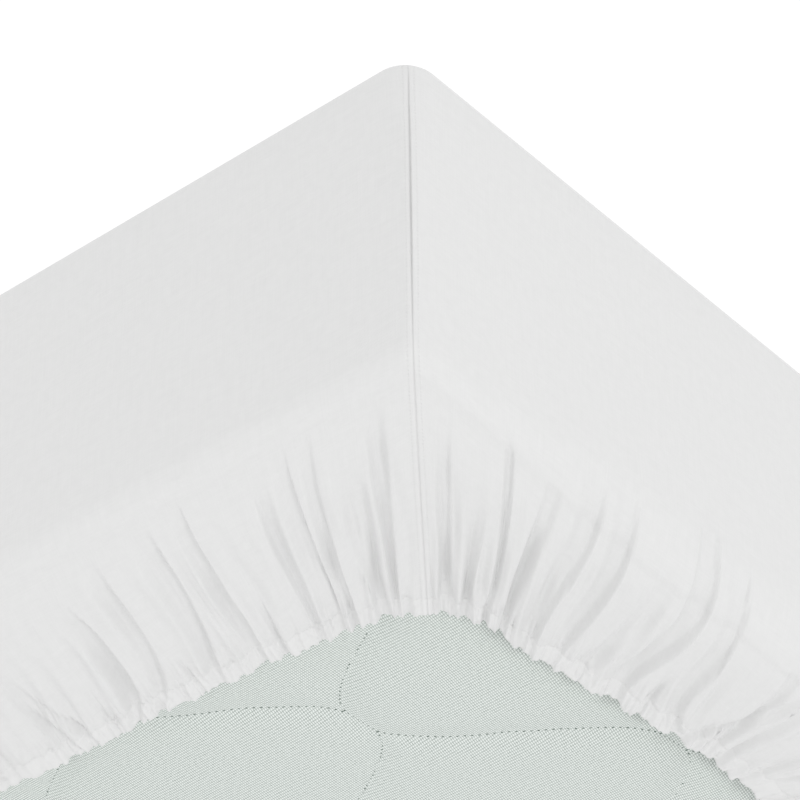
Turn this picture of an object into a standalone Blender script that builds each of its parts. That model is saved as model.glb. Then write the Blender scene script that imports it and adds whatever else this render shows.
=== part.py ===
"""A fitted sheet on a single mattress, lying on its sleeping face with the elasticated hem on top.

The cloth is one closed skin: it is flat under the mattress, stands up its four sides, turns over the
upper edge and is drawn in over the underside by its hem in uneven gathers. X runs across the mattress,
Y along it and Z up, in metres, and the origin is at the middle of the face that rests on the floor.
"""

import math
from collections import namedtuple

import bpy
import numpy as np

# The mattress as dressed, over the cloth.
WIDTH = 0.900
LENGTH = 2.000
HEIGHT = 0.203
CORNER_RADIUS = 0.020
SEAM_RADIUS = 0.010

# The cloth, and its clearance to the mattress.
CLOTH = 0.0016
GAP = 0.0004
FACE_EDGE_RADIUS = 0.006
LONG_EDGE_RADIUS = 0.014
SHORT_EDGE_RADIUS = 0.026
EDGE_BLEND = 0.12
EDGE_CLEARANCE = 0.0055
LEAST_CORNER_RADIUS = 0.004
CORNER_STEPS = 3
FACE_EDGE_STEPS = 2
UPPER_EDGE_STEPS = 3
INNER_EDGE_STEPS = 2
MATTRESS_EDGE_STEPS = 4
SHARP_ANGLE = 40

# The hem's ring over the underside: its distance from the long and from the short sides.
HEM_IN_FROM_LONG = 0.162
HEM_IN_FROM_SHORT = 0.1225
HEM_CORNER_RADIUS = 0.060
HEM_BAND = 0.014

# The gathers.
WIDE_PITCH = 0.046
NARROW_PITCH = 0.018
FULL_GATHER = 1.9
CREST_SHARE = 0.36
LOWEST_CREST = 0.0045
HIGHEST_CREST = 0.0085
HEM_LIFT = 0.0012
LEAST_FLAT = 0.003
LEAST_DEPTH = 0.7
CROWDING = 1.35
UNEVEN = 0.17
SEED = 11

# A fold's steepest slope over its height for each width, and the most that counts for the thickness.
STEEPNESS = 3.6
STEEPEST = 1.2

# One trough of the gathers, from the nearest corner seam in millimetres: where it leaves the mattress's
# edge, where it meets the hem, how deep it is, and how far beyond its ring the hem is drawn in there.
Fold = namedtuple("Fold", "edge_mm hem_mm depth inward_mm")

# The troughs on both sides of the corner at +X -Y, which is the most closely drawn one.
FRONT_LONG = (
    Fold(27, 12, 1.0, 1.5),
    Fold(44, 20, 0.8, 2.5),
    Fold(74, 39, 0.9, 5.0),
    Fold(97, 54, 0.8, 3.5),
    Fold(126, 77, 0.8, 2.0),
    Fold(167, 110, 0.9, 1.0),
    Fold(188, 126, 0.7, 0.5),
    Fold(208, 146, 0.8, -1.0),
    Fold(236, 174, 0.7, -1.0),
    Fold(260, 202, 1.0, 1.5),
    Fold(304, 236, 0.8, 2.0),
)
FRONT_SHORT = (
    Fold(20, 9, 1.0, 0.0),
    Fold(46, 21, 0.7, 0.0),
    Fold(76, 33, 1.0, 0.0),
    Fold(112, 48, 1.0, 1.0),
    Fold(149, 70, 0.8, 5.5),
    Fold(182, 94, 0.9, 1.5),
    Fold(216, 121, 0.7, -0.5),
    Fold(256, 151, 1.0, -2.5),
    Fold(289, 205, 0.9, -5.0),
    Fold(312, 228, 0.8, -5.0),
)

# How the cloth is drawn in beside the other corners: millimetres along the edge against the hem.
Draw = namedtuple("Draw", "edge_mm hem_mm")
LONG_DRAW = (Draw(0, 0), Draw(40, 17), Draw(130, 76), Draw(260, 196))
SHORT_DRAW = (Draw(0, 0), Draw(80, 38), Draw(186, 101), Draw(270, 165))
CORNER_FOLDS = 8

# The rows of the cloth between the mattress's edge and the hem: how far in they lie and how much of a
# crest's height they have.
Row = namedtuple("Row", "share_in crest")
FOLD_START = Row(0.14, 0.0)
FOLD_MIDDLE = Row(0.46, 0.60)
FOLD_FULL = Row(0.80, 1.00)
HEM_STITCH = Row(None, 0.55)
HEM_EDGE = Row(1.00, 0.42)

# Where the columns of one gather stand between its two troughs, and how high: rounded at the crest.
Step = namedtuple("Step", "share height")
WIDE_STEPS = (Step(0.0, 0.0), Step(0.22, 0.74), Step(0.50, 1.0), Step(0.78, 0.74))
MIDDLE_STEPS = (Step(0.0, 0.0), Step(0.32, 0.95), Step(0.68, 0.95))
SEAM_STEPS = (Step(0.0, 0.0), Step(0.25, 0.55), Step(0.50, 0.85), Step(0.75, 0.97))
SEAM_STEP = 0.25


class Outline:
    """A rectangle with round corners, walked from one corner's middle to the next."""

    def __init__(self, width, length, radius):
        self.radius = radius
        self.spans = (length, width, length, width)
        self.depths = (width / 2, length / 2, width / 2, length / 2)
        self.arc = radius * math.pi / 4

    def run(self, side):
        """The distance along the outline between the middles of the two corners of a side."""
        return self.spans[side] - 2 * self.radius + 2 * self.arc

    def points(self, side, along):
        """The points of one side at these distances from the middle of its first corner."""
        half = self.spans[side] / 2
        reach = self.depths[side]
        first = np.clip((self.arc - along) / self.radius, 0, math.pi / 4)
        last = np.clip((along - self.run(side) + self.arc) / self.radius, 0, math.pi / 4)
        turn = last - first
        straight = np.clip(along - self.arc, 0, self.run(side) - 2 * self.arc)
        u = straight - half + self.radius + self.radius * np.sin(turn)
        v = reach - self.radius + self.radius * np.cos(turn)
        quarter = side * math.pi / 2
        x = v * math.cos(quarter) - u * math.sin(quarter)
        y = v * math.sin(quarter) + u * math.cos(quarter)
        return np.column_stack((x, y))


EDGE = Outline(WIDTH, LENGTH, CORNER_RADIUS)
UPPER_EDGE = Outline(WIDTH, LENGTH, SEAM_RADIUS)
HEM = Outline(WIDTH - 2 * HEM_IN_FROM_LONG, LENGTH - 2 * HEM_IN_FROM_SHORT, HEM_CORNER_RADIUS)


def clear_scene():
    for thing in list(bpy.data.objects):
        bpy.data.objects.remove(thing, do_unlink=True)


def corner_folds(draw, random):
    """Troughs beside a plain corner, at uneven steps along the hem."""
    hem_end = draw[-1].hem_mm
    steps = np.arange(1, CORNER_FOLDS + 1) + random.uniform(-UNEVEN, UNEVEN, CORNER_FOLDS)
    hems = hem_end * (steps / CORNER_FOLDS) ** CROWDING
    edges = np.interp(hems, [row.hem_mm for row in draw], [row.edge_mm for row in draw])
    depths = random.uniform(LEAST_DEPTH, 1.0, CORNER_FOLDS)
    return [Fold(*row, 0.0) for row in zip(edges, hems, depths)]


def middle_folds(first, last, random):
    """Troughs between those of a side's two corners, closer together where the cloth is fuller."""
    hem_gap = last.hem_mm - first.hem_mm
    fullness = (last.edge_mm - first.edge_mm) / hem_gap
    drawn = min(max((fullness - 1) / (FULL_GATHER - 1), 0), 1)
    pitch_mm = 1000 * (WIDE_PITCH + (NARROW_PITCH - WIDE_PITCH) * drawn)
    count = round(hem_gap / pitch_mm)
    shares = np.arange(1, count) + random.uniform(-UNEVEN, UNEVEN, count - 1)
    hems = first.hem_mm + hem_gap * shares / count
    shares = shares + random.uniform(-UNEVEN, UNEVEN, count - 1) / 2
    edges = first.edge_mm + (last.edge_mm - first.edge_mm) * shares / count
    depths = random.uniform(LEAST_DEPTH, 1.0, count - 1)
    inward = np.linspace(first.inward_mm, last.inward_mm, count + 1)[1:-1]
    return [Fold(*row) for row in zip(edges, hems, depths, inward)]


def side_folds(side, random):
    """All troughs of one side, in order, at distances from the middle of its first corner."""
    draw = LONG_DRAW if side % 2 == 0 else SHORT_DRAW
    first = list(FRONT_LONG) if side == 0 else corner_folds(draw, random)
    last = list(FRONT_SHORT) if side == 3 else corner_folds(draw, random)
    edge_mm = 1000 * EDGE.run(side)
    hem_mm = 1000 * HEM.run(side)
    turned = [
        Fold(edge_mm - row.edge_mm, hem_mm - row.hem_mm, row.depth, row.inward_mm)
        for row in reversed(last)
    ]
    return first + middle_folds(first[-1], turned[0], random) + turned


def crest_height(edge_gap, hem_gap):
    """How high the cloth stands between two troughs: higher where more of it is drawn together."""
    spare = math.sqrt(max(edge_gap**2 - hem_gap**2, 0))
    return min(max(CREST_SHARE * spare, LOWEST_CREST), HIGHEST_CREST)


def columns_of_side(side, folds):
    """The columns of one side, from its first corner's seam to just before the next one's.

    Each column is its distance along the edge and along the hem, its height as a share of a crest,
    and whether the plain rows of the cloth have it too.
    """
    edge_run = EDGE.run(side)
    hem_run = HEM.run(side)
    edges = [row.edge_mm / 1000 for row in folds]
    hems = [row.hem_mm / 1000 for row in folds]
    rows = []
    for step in reversed(SEAM_STEPS):
        lift = step.height * HIGHEST_CREST
        away = 1 - (step.share + SEAM_STEP)
        rows.append((edges[0] * away, hems[0] * away, lift, True))
    for index in range(len(folds) - 1):
        edge_gap = edges[index + 1] - edges[index]
        hem_gap = hems[index + 1] - hems[index]
        height = crest_height(edge_gap, hem_gap) * (folds[index].depth + folds[index + 1].depth) / 2
        near_corner = min(index, len(folds) - 2 - index) < CORNER_FOLDS
        for step in WIDE_STEPS if near_corner else MIDDLE_STEPS:
            place = (edges[index] + edge_gap * step.share, hems[index] + hem_gap * step.share)
            in_plain_rows = step.share == 0 or place[0] < CORNER_RADIUS
            in_plain_rows = in_plain_rows or edge_run - place[0] < CORNER_RADIUS
            rows.append((*place, height * step.height, in_plain_rows))
    for step in SEAM_STEPS:
        lift = step.height * HIGHEST_CREST
        edge = edges[-1] + (edge_run - edges[-1]) * step.share
        hem = hems[-1] + (hem_run - hems[-1]) * step.share
        rows.append((edge, hem, lift, True))
    return np.array(rows)


class Columns:
    """The columns of the cloth, all the way round, with the cloth's path in plan for each."""

    def __init__(self):
        random = np.random.default_rng(SEED)
        edge = []
        upper = []
        hem = []
        crest = []
        plain = []
        radius = []
        inward = []
        for side in range(4):
            folds = side_folds(side, random)
            rows = columns_of_side(side, folds)
            seams = (0.0, *(row.hem_mm / 1000 for row in folds), HEM.run(side))
            drawn = (0.0, *(row.inward_mm / 1000 for row in folds), 0.0)
            inward.append(np.interp(rows[:, 1], seams, drawn))
            edge.append(EDGE.points(side, rows[:, 0]))
            upper.append(UPPER_EDGE.points(side, rows[:, 0] * UPPER_EDGE.run(side) / EDGE.run(side)))
            hem.append(HEM.points(side, rows[:, 1]))
            crest.append(rows[:, 2])
            plain.append(rows[:, 3] > 0)
            own = LONG_EDGE_RADIUS if side % 2 == 0 else SHORT_EDGE_RADIUS
            away = np.minimum(rows[:, 0], EDGE.run(side) - rows[:, 0]) / EDGE_BLEND
            radius.append(own + (LONG_EDGE_RADIUS - own) * np.exp(-away**2))
        self.edge = np.concatenate(edge)
        self.upper = np.concatenate(upper)
        self.hem = np.concatenate(hem)
        self.crest = np.concatenate(crest)
        self.plain = np.concatenate(plain)
        self.radius = np.concatenate(radius)
        straight = np.linalg.norm(self.hem - self.upper, axis=1)
        self.inward = (self.hem - self.upper) / straight[:, None]
        self.reach = straight + np.concatenate(inward)

    def ring(self, distance, height, plain, outline=None):
        """A ring of points this far in from the outline, each along its own column's path."""
        start = self.upper if outline is None else outline
        plan = start + self.inward * np.broadcast_to(distance, self.reach.shape)[:, None]
        points = np.column_stack((plan, np.broadcast_to(height, self.reach.shape)))
        return points[self.plain] if plain else points


class Skin:
    """A mesh that grows ring by ring."""

    def __init__(self, columns=None):
        if columns:
            self.fine = len(columns.crest)
            self.picked = np.flatnonzero(columns.plain)
        self.points = []
        self.faces = []
        self.last = None

    def add_points(self, points):
        start = sum(len(block) for block in self.points)
        self.points.append(points)
        return np.arange(start, start + len(points))

    def add_ring(self, points):
        """Adds a ring, and joins it to the one before."""
        ring = self.add_points(points)
        if self.last is not None:
            self.join(self.last, ring)
        self.last = ring

    def join(self, before, after):
        if len(before) == len(after):
            ahead = np.roll(np.arange(len(before)), -1)
            quads = np.column_stack((before, before[ahead], after[ahead], after))
            self.faces += quads.tolist()
        elif len(before) < len(after):
            self.fan(before, after, False)
        else:
            self.fan(after, before, True)

    def fan(self, plain, fine, turned):
        """Joins a ring of the plain columns to a ring of all columns."""
        ends = np.append(self.picked[1:], self.picked[0] + self.fine)
        for index, (start, end) in enumerate(zip(self.picked, ends)):
            near = plain[index]
            far = plain[(index + 1) % len(plain)]
            middle = (start + end) // 2
            found = [(near, far, fine[middle % self.fine])]
            for column in range(start, end):
                pair = fine[(column + 1) % self.fine], fine[column % self.fine]
                found.append((near if column < middle else far, *pair))
            self.faces += [face[::-1] if turned else face for face in found]

    def cap(self, height, closing):
        """Closes the last ring, or the first one, with a flat fan about its middle."""
        middle = self.add_points(np.array([[0.0, 0.0, height]]))[0]
        ring = self.last if closing else np.arange(len(self.points[0]))
        ahead = np.roll(ring, -1)
        for one, other in zip(ring, ahead):
            self.faces.append((one, other, middle) if closing else (other, one, middle))

    def make(self, name, material):
        mesh = bpy.data.meshes.new(name)
        faces = [[int(index) for index in face] for face in self.faces]
        mesh.from_pydata(np.concatenate(self.points).tolist(), [], faces)
        mesh.update()
        mesh.shade_smooth()
        mesh.set_sharp_from_angle(angle=math.radians(SHARP_ANGLE))
        mesh.materials.append(material)
        thing = bpy.data.objects.new(name, mesh)
        bpy.context.scene.collection.objects.link(thing)
        return thing


def quarter_turn(steps):
    return [math.pi / 2 * step / steps for step in range(steps + 1)]


def fold_height(columns, row):
    """The height of the cloth's outer face along one row of the gathers."""
    return HEIGHT + HEM_LIFT * row.crest + columns.crest * row.crest


def fold_distance(columns, row):
    """How far in from the outline one row of the gathers lies."""
    if row is HEM_STITCH:
        return columns.reach - HEM_BAND
    return np.maximum(columns.reach * row.share_in, columns.radius + LEAST_FLAT)


def thickness_up(columns, row):
    """The cloth's thickness measured straight up, which is more where it is steep."""
    steepness = STEEPNESS * row.crest * columns.crest / NARROW_PITCH
    return CLOTH * np.sqrt(1 + np.minimum(steepness, STEEPEST) ** 2)


def build_sheet(columns, material):
    """The cloth: its outer face from the floor to the hem, and its inner face back down."""
    skin = Skin(columns)
    for angle in quarter_turn(FACE_EDGE_STEPS):
        distance = FACE_EDGE_RADIUS * (1 - math.sin(angle))
        height = FACE_EDGE_RADIUS * (1 - math.cos(angle))
        skin.add_ring(columns.ring(distance, height, True, columns.edge))
    for angle in quarter_turn(UPPER_EDGE_STEPS):
        distance = columns.radius * (1 - math.cos(angle))
        skin.add_ring(columns.ring(distance, HEIGHT - columns.radius * (1 - math.sin(angle)), True))
    for row in (FOLD_START, FOLD_MIDDLE, FOLD_FULL, HEM_STITCH, HEM_EDGE):
        plain = row is FOLD_START
        skin.add_ring(columns.ring(fold_distance(columns, row), fold_height(columns, row), plain))
    for row in (HEM_EDGE, FOLD_FULL, FOLD_START):
        plain = row is FOLD_START
        height = fold_height(columns, row) - thickness_up(columns, row)
        skin.add_ring(columns.ring(fold_distance(columns, row), height, plain))
    inner = columns.radius - CLOTH
    for angle in reversed(quarter_turn(INNER_EDGE_STEPS)):
        distance = CLOTH + inner * (1 - math.cos(angle))
        skin.add_ring(columns.ring(distance, HEIGHT - columns.radius + inner * math.sin(angle), True))
    inner = FACE_EDGE_RADIUS - CLOTH
    for angle in reversed(quarter_turn(1)):
        distance = CLOTH + inner * (1 - math.sin(angle))
        height = CLOTH + inner * (1 - math.cos(angle))
        skin.add_ring(columns.ring(distance, height, True, columns.edge))
    skin.cap(CLOTH, True)
    skin.cap(0.0, False)
    return skin.make("fitted_sheet", material)


def mattress_ring(inset, height):
    """A ring of the mattress: it has points only in its round corners, and its sides are straight.

    Inset and height are pairs, for the long sides and for the short ones.
    """
    radius = max(CORNER_RADIUS + EDGE_CLEARANCE - max(inset), LEAST_CORNER_RADIUS)
    outline = Outline(WIDTH - 2 * inset[0], LENGTH - 2 * inset[1], radius)
    points = []
    for side in range(4):
        along = outline.arc * np.arange(CORNER_STEPS + 1) / CORNER_STEPS
        along = np.append(along, outline.run(side) - along[:0:-1])
        own = height[side % 2]
        heights = np.full(len(along), own)
        heights[0] = sum(height) / 2
        points.append(np.column_stack((outline.points(side, along), heights)))
    return np.concatenate(points)


def build_mattress(material):
    """The mattress that fills the cloth, a little rounder at its edges than the cloth is."""
    side = CLOTH + GAP
    floor = CLOTH + GAP
    top = HEIGHT - CLOTH - GAP
    skin = Skin()
    lower = FACE_EDGE_RADIUS + EDGE_CLEARANCE
    for angle in quarter_turn(FACE_EDGE_STEPS):
        inset = side + lower * (1 - math.sin(angle))
        height = floor + lower * (1 - math.cos(angle))
        skin.add_ring(mattress_ring((inset, inset), (height, height)))
    uppers = (LONG_EDGE_RADIUS + EDGE_CLEARANCE, SHORT_EDGE_RADIUS + EDGE_CLEARANCE)
    for angle in quarter_turn(MATTRESS_EDGE_STEPS):
        insets = [side + upper * (1 - math.cos(angle)) for upper in uppers]
        heights = [top - upper * (1 - math.sin(angle)) for upper in uppers]
        skin.add_ring(mattress_ring(insets, heights))
    skin.cap(top, True)
    skin.cap(floor, False)
    return skin.make("mattress", material)


def plain_material(name, colour, roughness):
    material = bpy.data.materials.new(name)
    material.use_nodes = True
    shader = material.node_tree.nodes["Principled BSDF"]
    shader.inputs["Base Color"].default_value = (*colour, 1)
    shader.inputs["Roughness"].default_value = roughness
    shader.inputs["Metallic"].default_value = 0
    return material


def main():
    clear_scene()
    columns = Columns()
    build_sheet(columns, plain_material("white_cotton", (0.80, 0.80, 0.79), 0.85))
    build_mattress(plain_material("pale_ticking", (0.60, 0.66, 0.62), 0.90))


main()
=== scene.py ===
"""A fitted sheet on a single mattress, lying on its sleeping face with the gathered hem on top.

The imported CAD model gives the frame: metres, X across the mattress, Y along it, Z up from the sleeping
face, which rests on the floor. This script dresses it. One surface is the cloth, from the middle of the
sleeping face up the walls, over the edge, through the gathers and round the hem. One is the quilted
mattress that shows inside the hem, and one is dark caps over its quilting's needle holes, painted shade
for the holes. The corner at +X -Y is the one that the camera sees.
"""

import logging
import math
from dataclasses import dataclass
from enum import Enum
from typing import Callable, NamedTuple

import bpy
import numpy as np
from mathutils import Matrix, Vector


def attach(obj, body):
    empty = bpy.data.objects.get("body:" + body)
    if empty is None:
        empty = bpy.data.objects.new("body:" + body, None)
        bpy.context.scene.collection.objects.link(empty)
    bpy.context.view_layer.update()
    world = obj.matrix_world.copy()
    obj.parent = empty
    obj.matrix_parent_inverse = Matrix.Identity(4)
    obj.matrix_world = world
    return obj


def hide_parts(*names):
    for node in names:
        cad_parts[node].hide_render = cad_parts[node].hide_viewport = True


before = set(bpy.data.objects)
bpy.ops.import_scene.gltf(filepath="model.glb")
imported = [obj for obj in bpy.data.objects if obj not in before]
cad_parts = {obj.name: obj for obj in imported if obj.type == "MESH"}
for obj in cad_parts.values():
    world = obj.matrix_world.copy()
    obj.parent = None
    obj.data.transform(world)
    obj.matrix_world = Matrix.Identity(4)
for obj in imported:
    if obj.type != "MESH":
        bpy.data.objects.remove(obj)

Array = np.ndarray
Colour = tuple[float, float, float]
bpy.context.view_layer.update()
BODY = "root"
MM = 0.001
QUARTER = math.pi / 2
FULL = 2 * math.pi
LOG = logging.getLogger("fitted_sheet")


# Numbers along a line


def smooth(low: float | Array, high: float | Array, value: float | Array) -> Array:
    """A soft step: 3x^2 - 2x^3, with x the clamped share of the way from low, at 0, to high, at 1."""
    share = np.clip((value - low) / (high - low), 0, 1)
    return share * share * (3 - 2 * share)


def mix(first: float | Array, second: float | Array, share: float | Array) -> Array:
    """The straight blend of two values, with this share of the second."""
    return first * (1 - share) + second * share


def bell(away: Array, width: float) -> Array:
    """1 where away is 0, falling to both sides as exp(-(away / width)^2)."""
    return np.exp(-((away / width) ** 2))


def graded(fine: Array, spacing: Array, even: bool) -> Array:
    """Places along a line, as far apart as the spacing there.

    Args:
        fine: Close, rising places along the whole line, in metres.
        spacing: The distance wanted at each of them, in metres.
        even: Whether the number of gaps has to be even.

    Returns:
        The rising places, from the line's start to its end.
    """
    steps = np.concatenate(([0.0], np.cumsum(np.diff(fine) / spacing[1:])))
    count = 2 * round(steps[-1] / 2) + 1 if even else round(steps[-1])
    return np.interp(np.linspace(0, steps[-1], count), steps, fine)


@dataclass(frozen=True)
class Ripples:
    """Soft creases that run along the second coordinate and wander a little.

    Attributes:
        pitch, length: The mean distance between creases, and that over which one wanders, in metres.
        seed: The seed of their phases.
    """

    pitch: float
    length: float
    seed: int

    WAVES = 5
    SHORTEST = 0.6
    LONGEST = 1.7
    WANDER = 1.4

    def at(self, across: Array, along: Array) -> Array:
        """The ripples' height: a mean of sines across, shifted by slow sines along and across.

        Args:
            across: The coordinate across the creases, in metres.
            along: The coordinate along them, in metres.

        Returns:
            Heights of about -1 to 1, in the arrays' common shape.
        """
        random = np.random.default_rng(self.seed)
        total = 0.0
        for index in range(self.WAVES):
            step = (index + 0.5) / self.WAVES
            wavelength = self.pitch * self.SHORTEST * (self.LONGEST / self.SHORTEST) ** step
            first, second, third = random.uniform(0, FULL, 3)
            wander = np.sin(FULL * along / self.length / random.uniform(0.8, 1.6) + first)
            drift = np.sin(FULL * across / (self.pitch * random.uniform(5, 9)) + third)
            total = total + np.sin(FULL * across / wavelength + self.WANDER * wander + drift + second)
        return total / math.sqrt(self.WAVES)


# Sizes


@dataclass(frozen=True)
class Body:
    """The dressed mattress's outer sizes in metres, over the cloth, as the CAD solids have them.

    Attributes:
        width, length, height: Along X, along Y, and up to the underside's plane.
        face_radius: The rounding of the sleeping face's edge.
        corner_radius, seam_radius: The plan's corners at the sleeping face, and from seam_taper up.
        long_radius: The upper edge's rounding along X's walls, and at all seams.
        short_radius: The same in the middle of Y's walls.
        edge_blend: How far from a seam the one rounding goes over into the other.
    """

    width: float = 0.900
    length: float = 2.000
    height: float = 0.203
    face_radius: float = 0.006
    corner_radius: float = 0.020
    seam_radius: float = 0.006
    seam_taper: float = 0.070
    long_radius: float = 0.013
    short_radius: float = 0.026
    edge_blend: float = 0.12


@dataclass(frozen=True)
class Hem:
    """The hem's ring over the underside and its sewing, in metres.

    Attributes:
        from_long, from_short: How far the ring lies in from X's and from Y's walls.
        corner_radius: The ring's corners.
        band: The tunnel's width, from the free edge to its stitches.
        roll: The radius of the rolled free edge.
        turned_in: How far the inner side of the tunnel is built.
        lowest: The least height of the tunnel over the underside's plane.
        puff: How far the tunnel swells between edge and stitches.
        stitch_dip, stitch_width: How deep the stitches draw the cloth in, and how far to each side.
        tooth, tooth_reach: How far the free edge goes in and out, and where that has faded out.
        ruche, ruche_reach: The height of the small ruches, and where they fade out.
    """

    from_long: float = 0.162
    from_short: float = 0.1225
    corner_radius: float = 0.060
    band: float = 0.0160
    roll: float = 0.0010
    turned_in: float = 0.0130
    lowest: float = 0.0014
    puff: float = 0.00018
    stitch_dip: float = 0.00022
    stitch_width: float = 0.0009
    tooth: float = 0.0010
    tooth_reach: float = 0.008
    ruche: float = 0.00032
    ruche_reach: float = 0.017


@dataclass(frozen=True)
class Gather:
    """How the elastic draws the cloth. Lengths are in metres, and shares are of the way to the hem.

    Attributes:
        crest: How high the cloth stands over the underside's plane.
        rise: The share of the way over which it rises from the edge.
        fall, fall_from: By how much of its height it falls again, and from which share on.
        deepest: The depth at which folds that meet level off.
        held, held_over: How much of their depth the hem's stitches take, and over which shares.
        lowest, lowest_at_edge: The lowest places of the gathers' floor and of the round edge.
        floor: The share of a fold's half width that is flat floor.
        steep_side, painted_highlight: The least half width of a fold, and the width of its painted
            highlight.
        wide_pitch: The distance between two folds where no cloth is drawn together.
        narrow_pitch: The distance where it is drawn together by full_ratio.
        uneven: The share of a step by which a fold's place is drawn by lot.
        fine_pitch, coarse_pitch: The distance of ruches beside the corner that shows, and elsewhere.
        ripple, crease, crinkle: The heights of the wide, the narrow and the crossing creases.
        swell: How far the walls are out of flat.
    """

    crest: float = 0.0098
    rise: float = 0.33
    fall: float = 0.40
    fall_from: float = 0.42
    deepest: float = 0.0105
    held: float = 0.28
    held_over: tuple[float, float] = (0.89, 0.97)
    lowest: float = -0.0016
    lowest_at_edge: float = -0.0055
    floor: float = 0.30
    steep_side: float = 0.0012
    painted_highlight: float = 0.0007
    wide_pitch: float = 0.044
    narrow_pitch: float = 0.018
    full_ratio: float = 1.9
    uneven: float = 0.25
    fine_pitch: float = 0.0062
    coarse_pitch: float = 0.0130
    ripple: float = 0.00120
    crease: float = 0.00035
    crinkle: float = 0.0009
    swell: float = 0.0006


@dataclass(frozen=True)
class Seam:
    """A corner seam's relief: a groove with a small ridge on each side of it, in metres."""

    groove: float = 0.00040
    groove_width: float = 0.00045
    ridge: float = 0.00022
    ridge_at: float = 0.0016
    ridge_width: float = 0.0008

    def dip(self, across: Array) -> Array:
        """How far the cloth lies in at these distances from the seam."""
        ridge = self.ridge * bell(np.abs(across) - self.ridge_at, self.ridge_width)
        return self.groove * bell(across, self.groove_width) - ridge


@dataclass(frozen=True)
class Grain:
    """How closely the cloth's columns stand, in metres along the hem.

    Attributes:
        near, far: Their distance within near_reach of the corner that shows, and elsewhere.
        blend: The stretch over which the one goes over into the other.
    """

    near: float = 0.00066
    far: float = 0.0034
    near_reach: float = 0.265
    blend: float = 0.050


class Fold(NamedTuple):
    """One fold of the gathers: a valley between two rounded crests.

    Its floor's place is given at the hem, at two thirds and at one third of the way from the mattress's
    edge, and at that edge. Each is the place of the hem, from the nearest corner seam, where the cloth
    beside it ends. The fold starts at a share of the way from the edge to the hem. Its depth and its whole
    width are given there and at the hem. Its lean is 1 where the side toward the corner is steep, -1 where
    the other side is, and 0 where both are soft.
    """

    hem_mm: float
    lower_mm: float
    upper_mm: float
    edge_mm: float
    start: float
    top_depth_mm: float
    hem_depth_mm: float
    top_width_mm: float
    hem_width_mm: float
    lean: float


class Knot(NamedTuple):
    """One row of a course along the hem: a value at a distance from the corner seam."""

    hem_mm: float
    value_mm: float


FRONT_LONG = (
    Fold(16.2, 16, 15.7, 17, 0.10, 5.4, 4.2, 15.0, 4.6, 0.0),
    Fold(22.6, 26.0, 26.3, 28.5, 0.27, 6.0, 5.0, 21.0, 9.5, 0.1),
    Fold(24, 36, 49, 62, 0.66, 1.0, 2.2, 4.0, 3.5, 0.8),
    Fold(40.5, 41.5, 41.6, 39, 0.06, 2.4, 4.4, 12.0, 7.0, 0.5),
    Fold(50, 49.5, 50.5, 51, 0.08, 3.4, 4.2, 17.0, 12.0, 0.8),
    Fold(66, 66, 66, 60, 0.12, 3.4, 4.0, 15.0, 8.0, -0.4),
    Fold(90, 89, 86, 82, 0.58, 1.0, 3.0, 5.0, 4.5, 0.7),
    Fold(107, 105, 106, 108, 0.08, 4.8, 5.4, 16.0, 12.0, 0.6),
    Fold(114, 118, 119, 119, 0.12, 2.4, 3.2, 13.0, 9.0, 0.0),
    Fold(142, 133, 129, 138, 0.12, 6.2, 6.0, 21.0, 14.0, 0.4),
    Fold(158, 162, 168, 176, 0.84, 0.8, 2.2, 5.0, 4.5, 0.5),
    Fold(188, 170, 169, 176, 0.14, 4.6, 3.8, 18.0, 11.0, 0.2),
    Fold(208, 194, 200, 214, 0.24, 6.0, 5.8, 21.0, 13.0, 0.45),
    Fold(222, 222, 218, 215, 0.66, 1.4, 3.0, 8.0, 6.0, 0.4),
    Fold(240, 254, 276, 290, 0.50, 3.0, 3.8, 9.0, 7.0, 0.6),
    Fold(252, 268, 288, 304, 0.56, 3.0, 3.8, 9.0, 7.0, 0.6),
)
FRONT_SHORT = (
    Fold(9.7, 11.2, 11.6, 14, 0.14, 3.0, 5.6, 13.0, 9.0, -0.25),
    Fold(21, 25.3, 29.4, 31, 0.36, 2.4, 4.0, 12.0, 7.0, -0.2),
    Fold(33.6, 39.2, 40, 39, 0.00, 3.0, 3.4, 8.5, 6.0, -0.2),
    Fold(47.3, 51.5, 56.8, 63, 0.06, 4.2, 5.2, 17.0, 7.0, 0.2),
    Fold(73, 73, 79, 81, -0.04, 6.0, 6.0, 26.0, 17.0, -0.45),
    Fold(92, 97.5, 103, 102, -0.06, 6.0, 5.6, 24.0, 16.0, -0.4),
    Fold(106, 124.3, 134, 136, 0.12, 3.4, 4.0, 22.0, 15.0, 0.0),
    Fold(151, 151.5, 166, 163, -0.10, 6.8, 6.4, 27.0, 20.0, -0.45),
    Fold(172, 173.7, 175, 176, 0.60, 1.2, 3.2, 9.0, 6.0, 0.0),
    Fold(210, 193, 203, 200, -0.04, 4.4, 4.8, 26.0, 19.0, -0.2),
    Fold(211, 234, 245, 252, 0.22, 4.6, 5.2, 17.0, 11.0, -0.3),
)

# How far along the edge the cloth lies that comes to a place of the hem, on a long and a short side.
LONG_DRAW = (Knot(0, 0), Knot(42, 76), Knot(76, 131), Knot(149, 216), Knot(232, 292))
SHORT_DRAW = (Knot(0, 0), Knot(40, 78), Knot(79, 150), Knot(150, 242), Knot(208, 288))

# How far beyond its ring the hem is drawn in, beside the corner that shows.
LONG_DRIFT = (
    Knot(0, 0), Knot(18, 2), Knot(41, 5), Knot(62, 3), Knot(84, 0.5), Knot(102, -1.5), Knot(122, 0.5),
    Knot(160, -1.5), Knot(188, -1.5), Knot(212, 1), Knot(260, 2.5), Knot(330, 0),
)
SHORT_DRIFT = (
    Knot(0, 0), Knot(30, 0), Knot(47, 0.5), Knot(71, 6), Knot(93, 1.5), Knot(120, -0.5), Knot(150, -4),
    Knot(191, -7), Knot(240, -7.5), Knot(330, 0),
)


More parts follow.
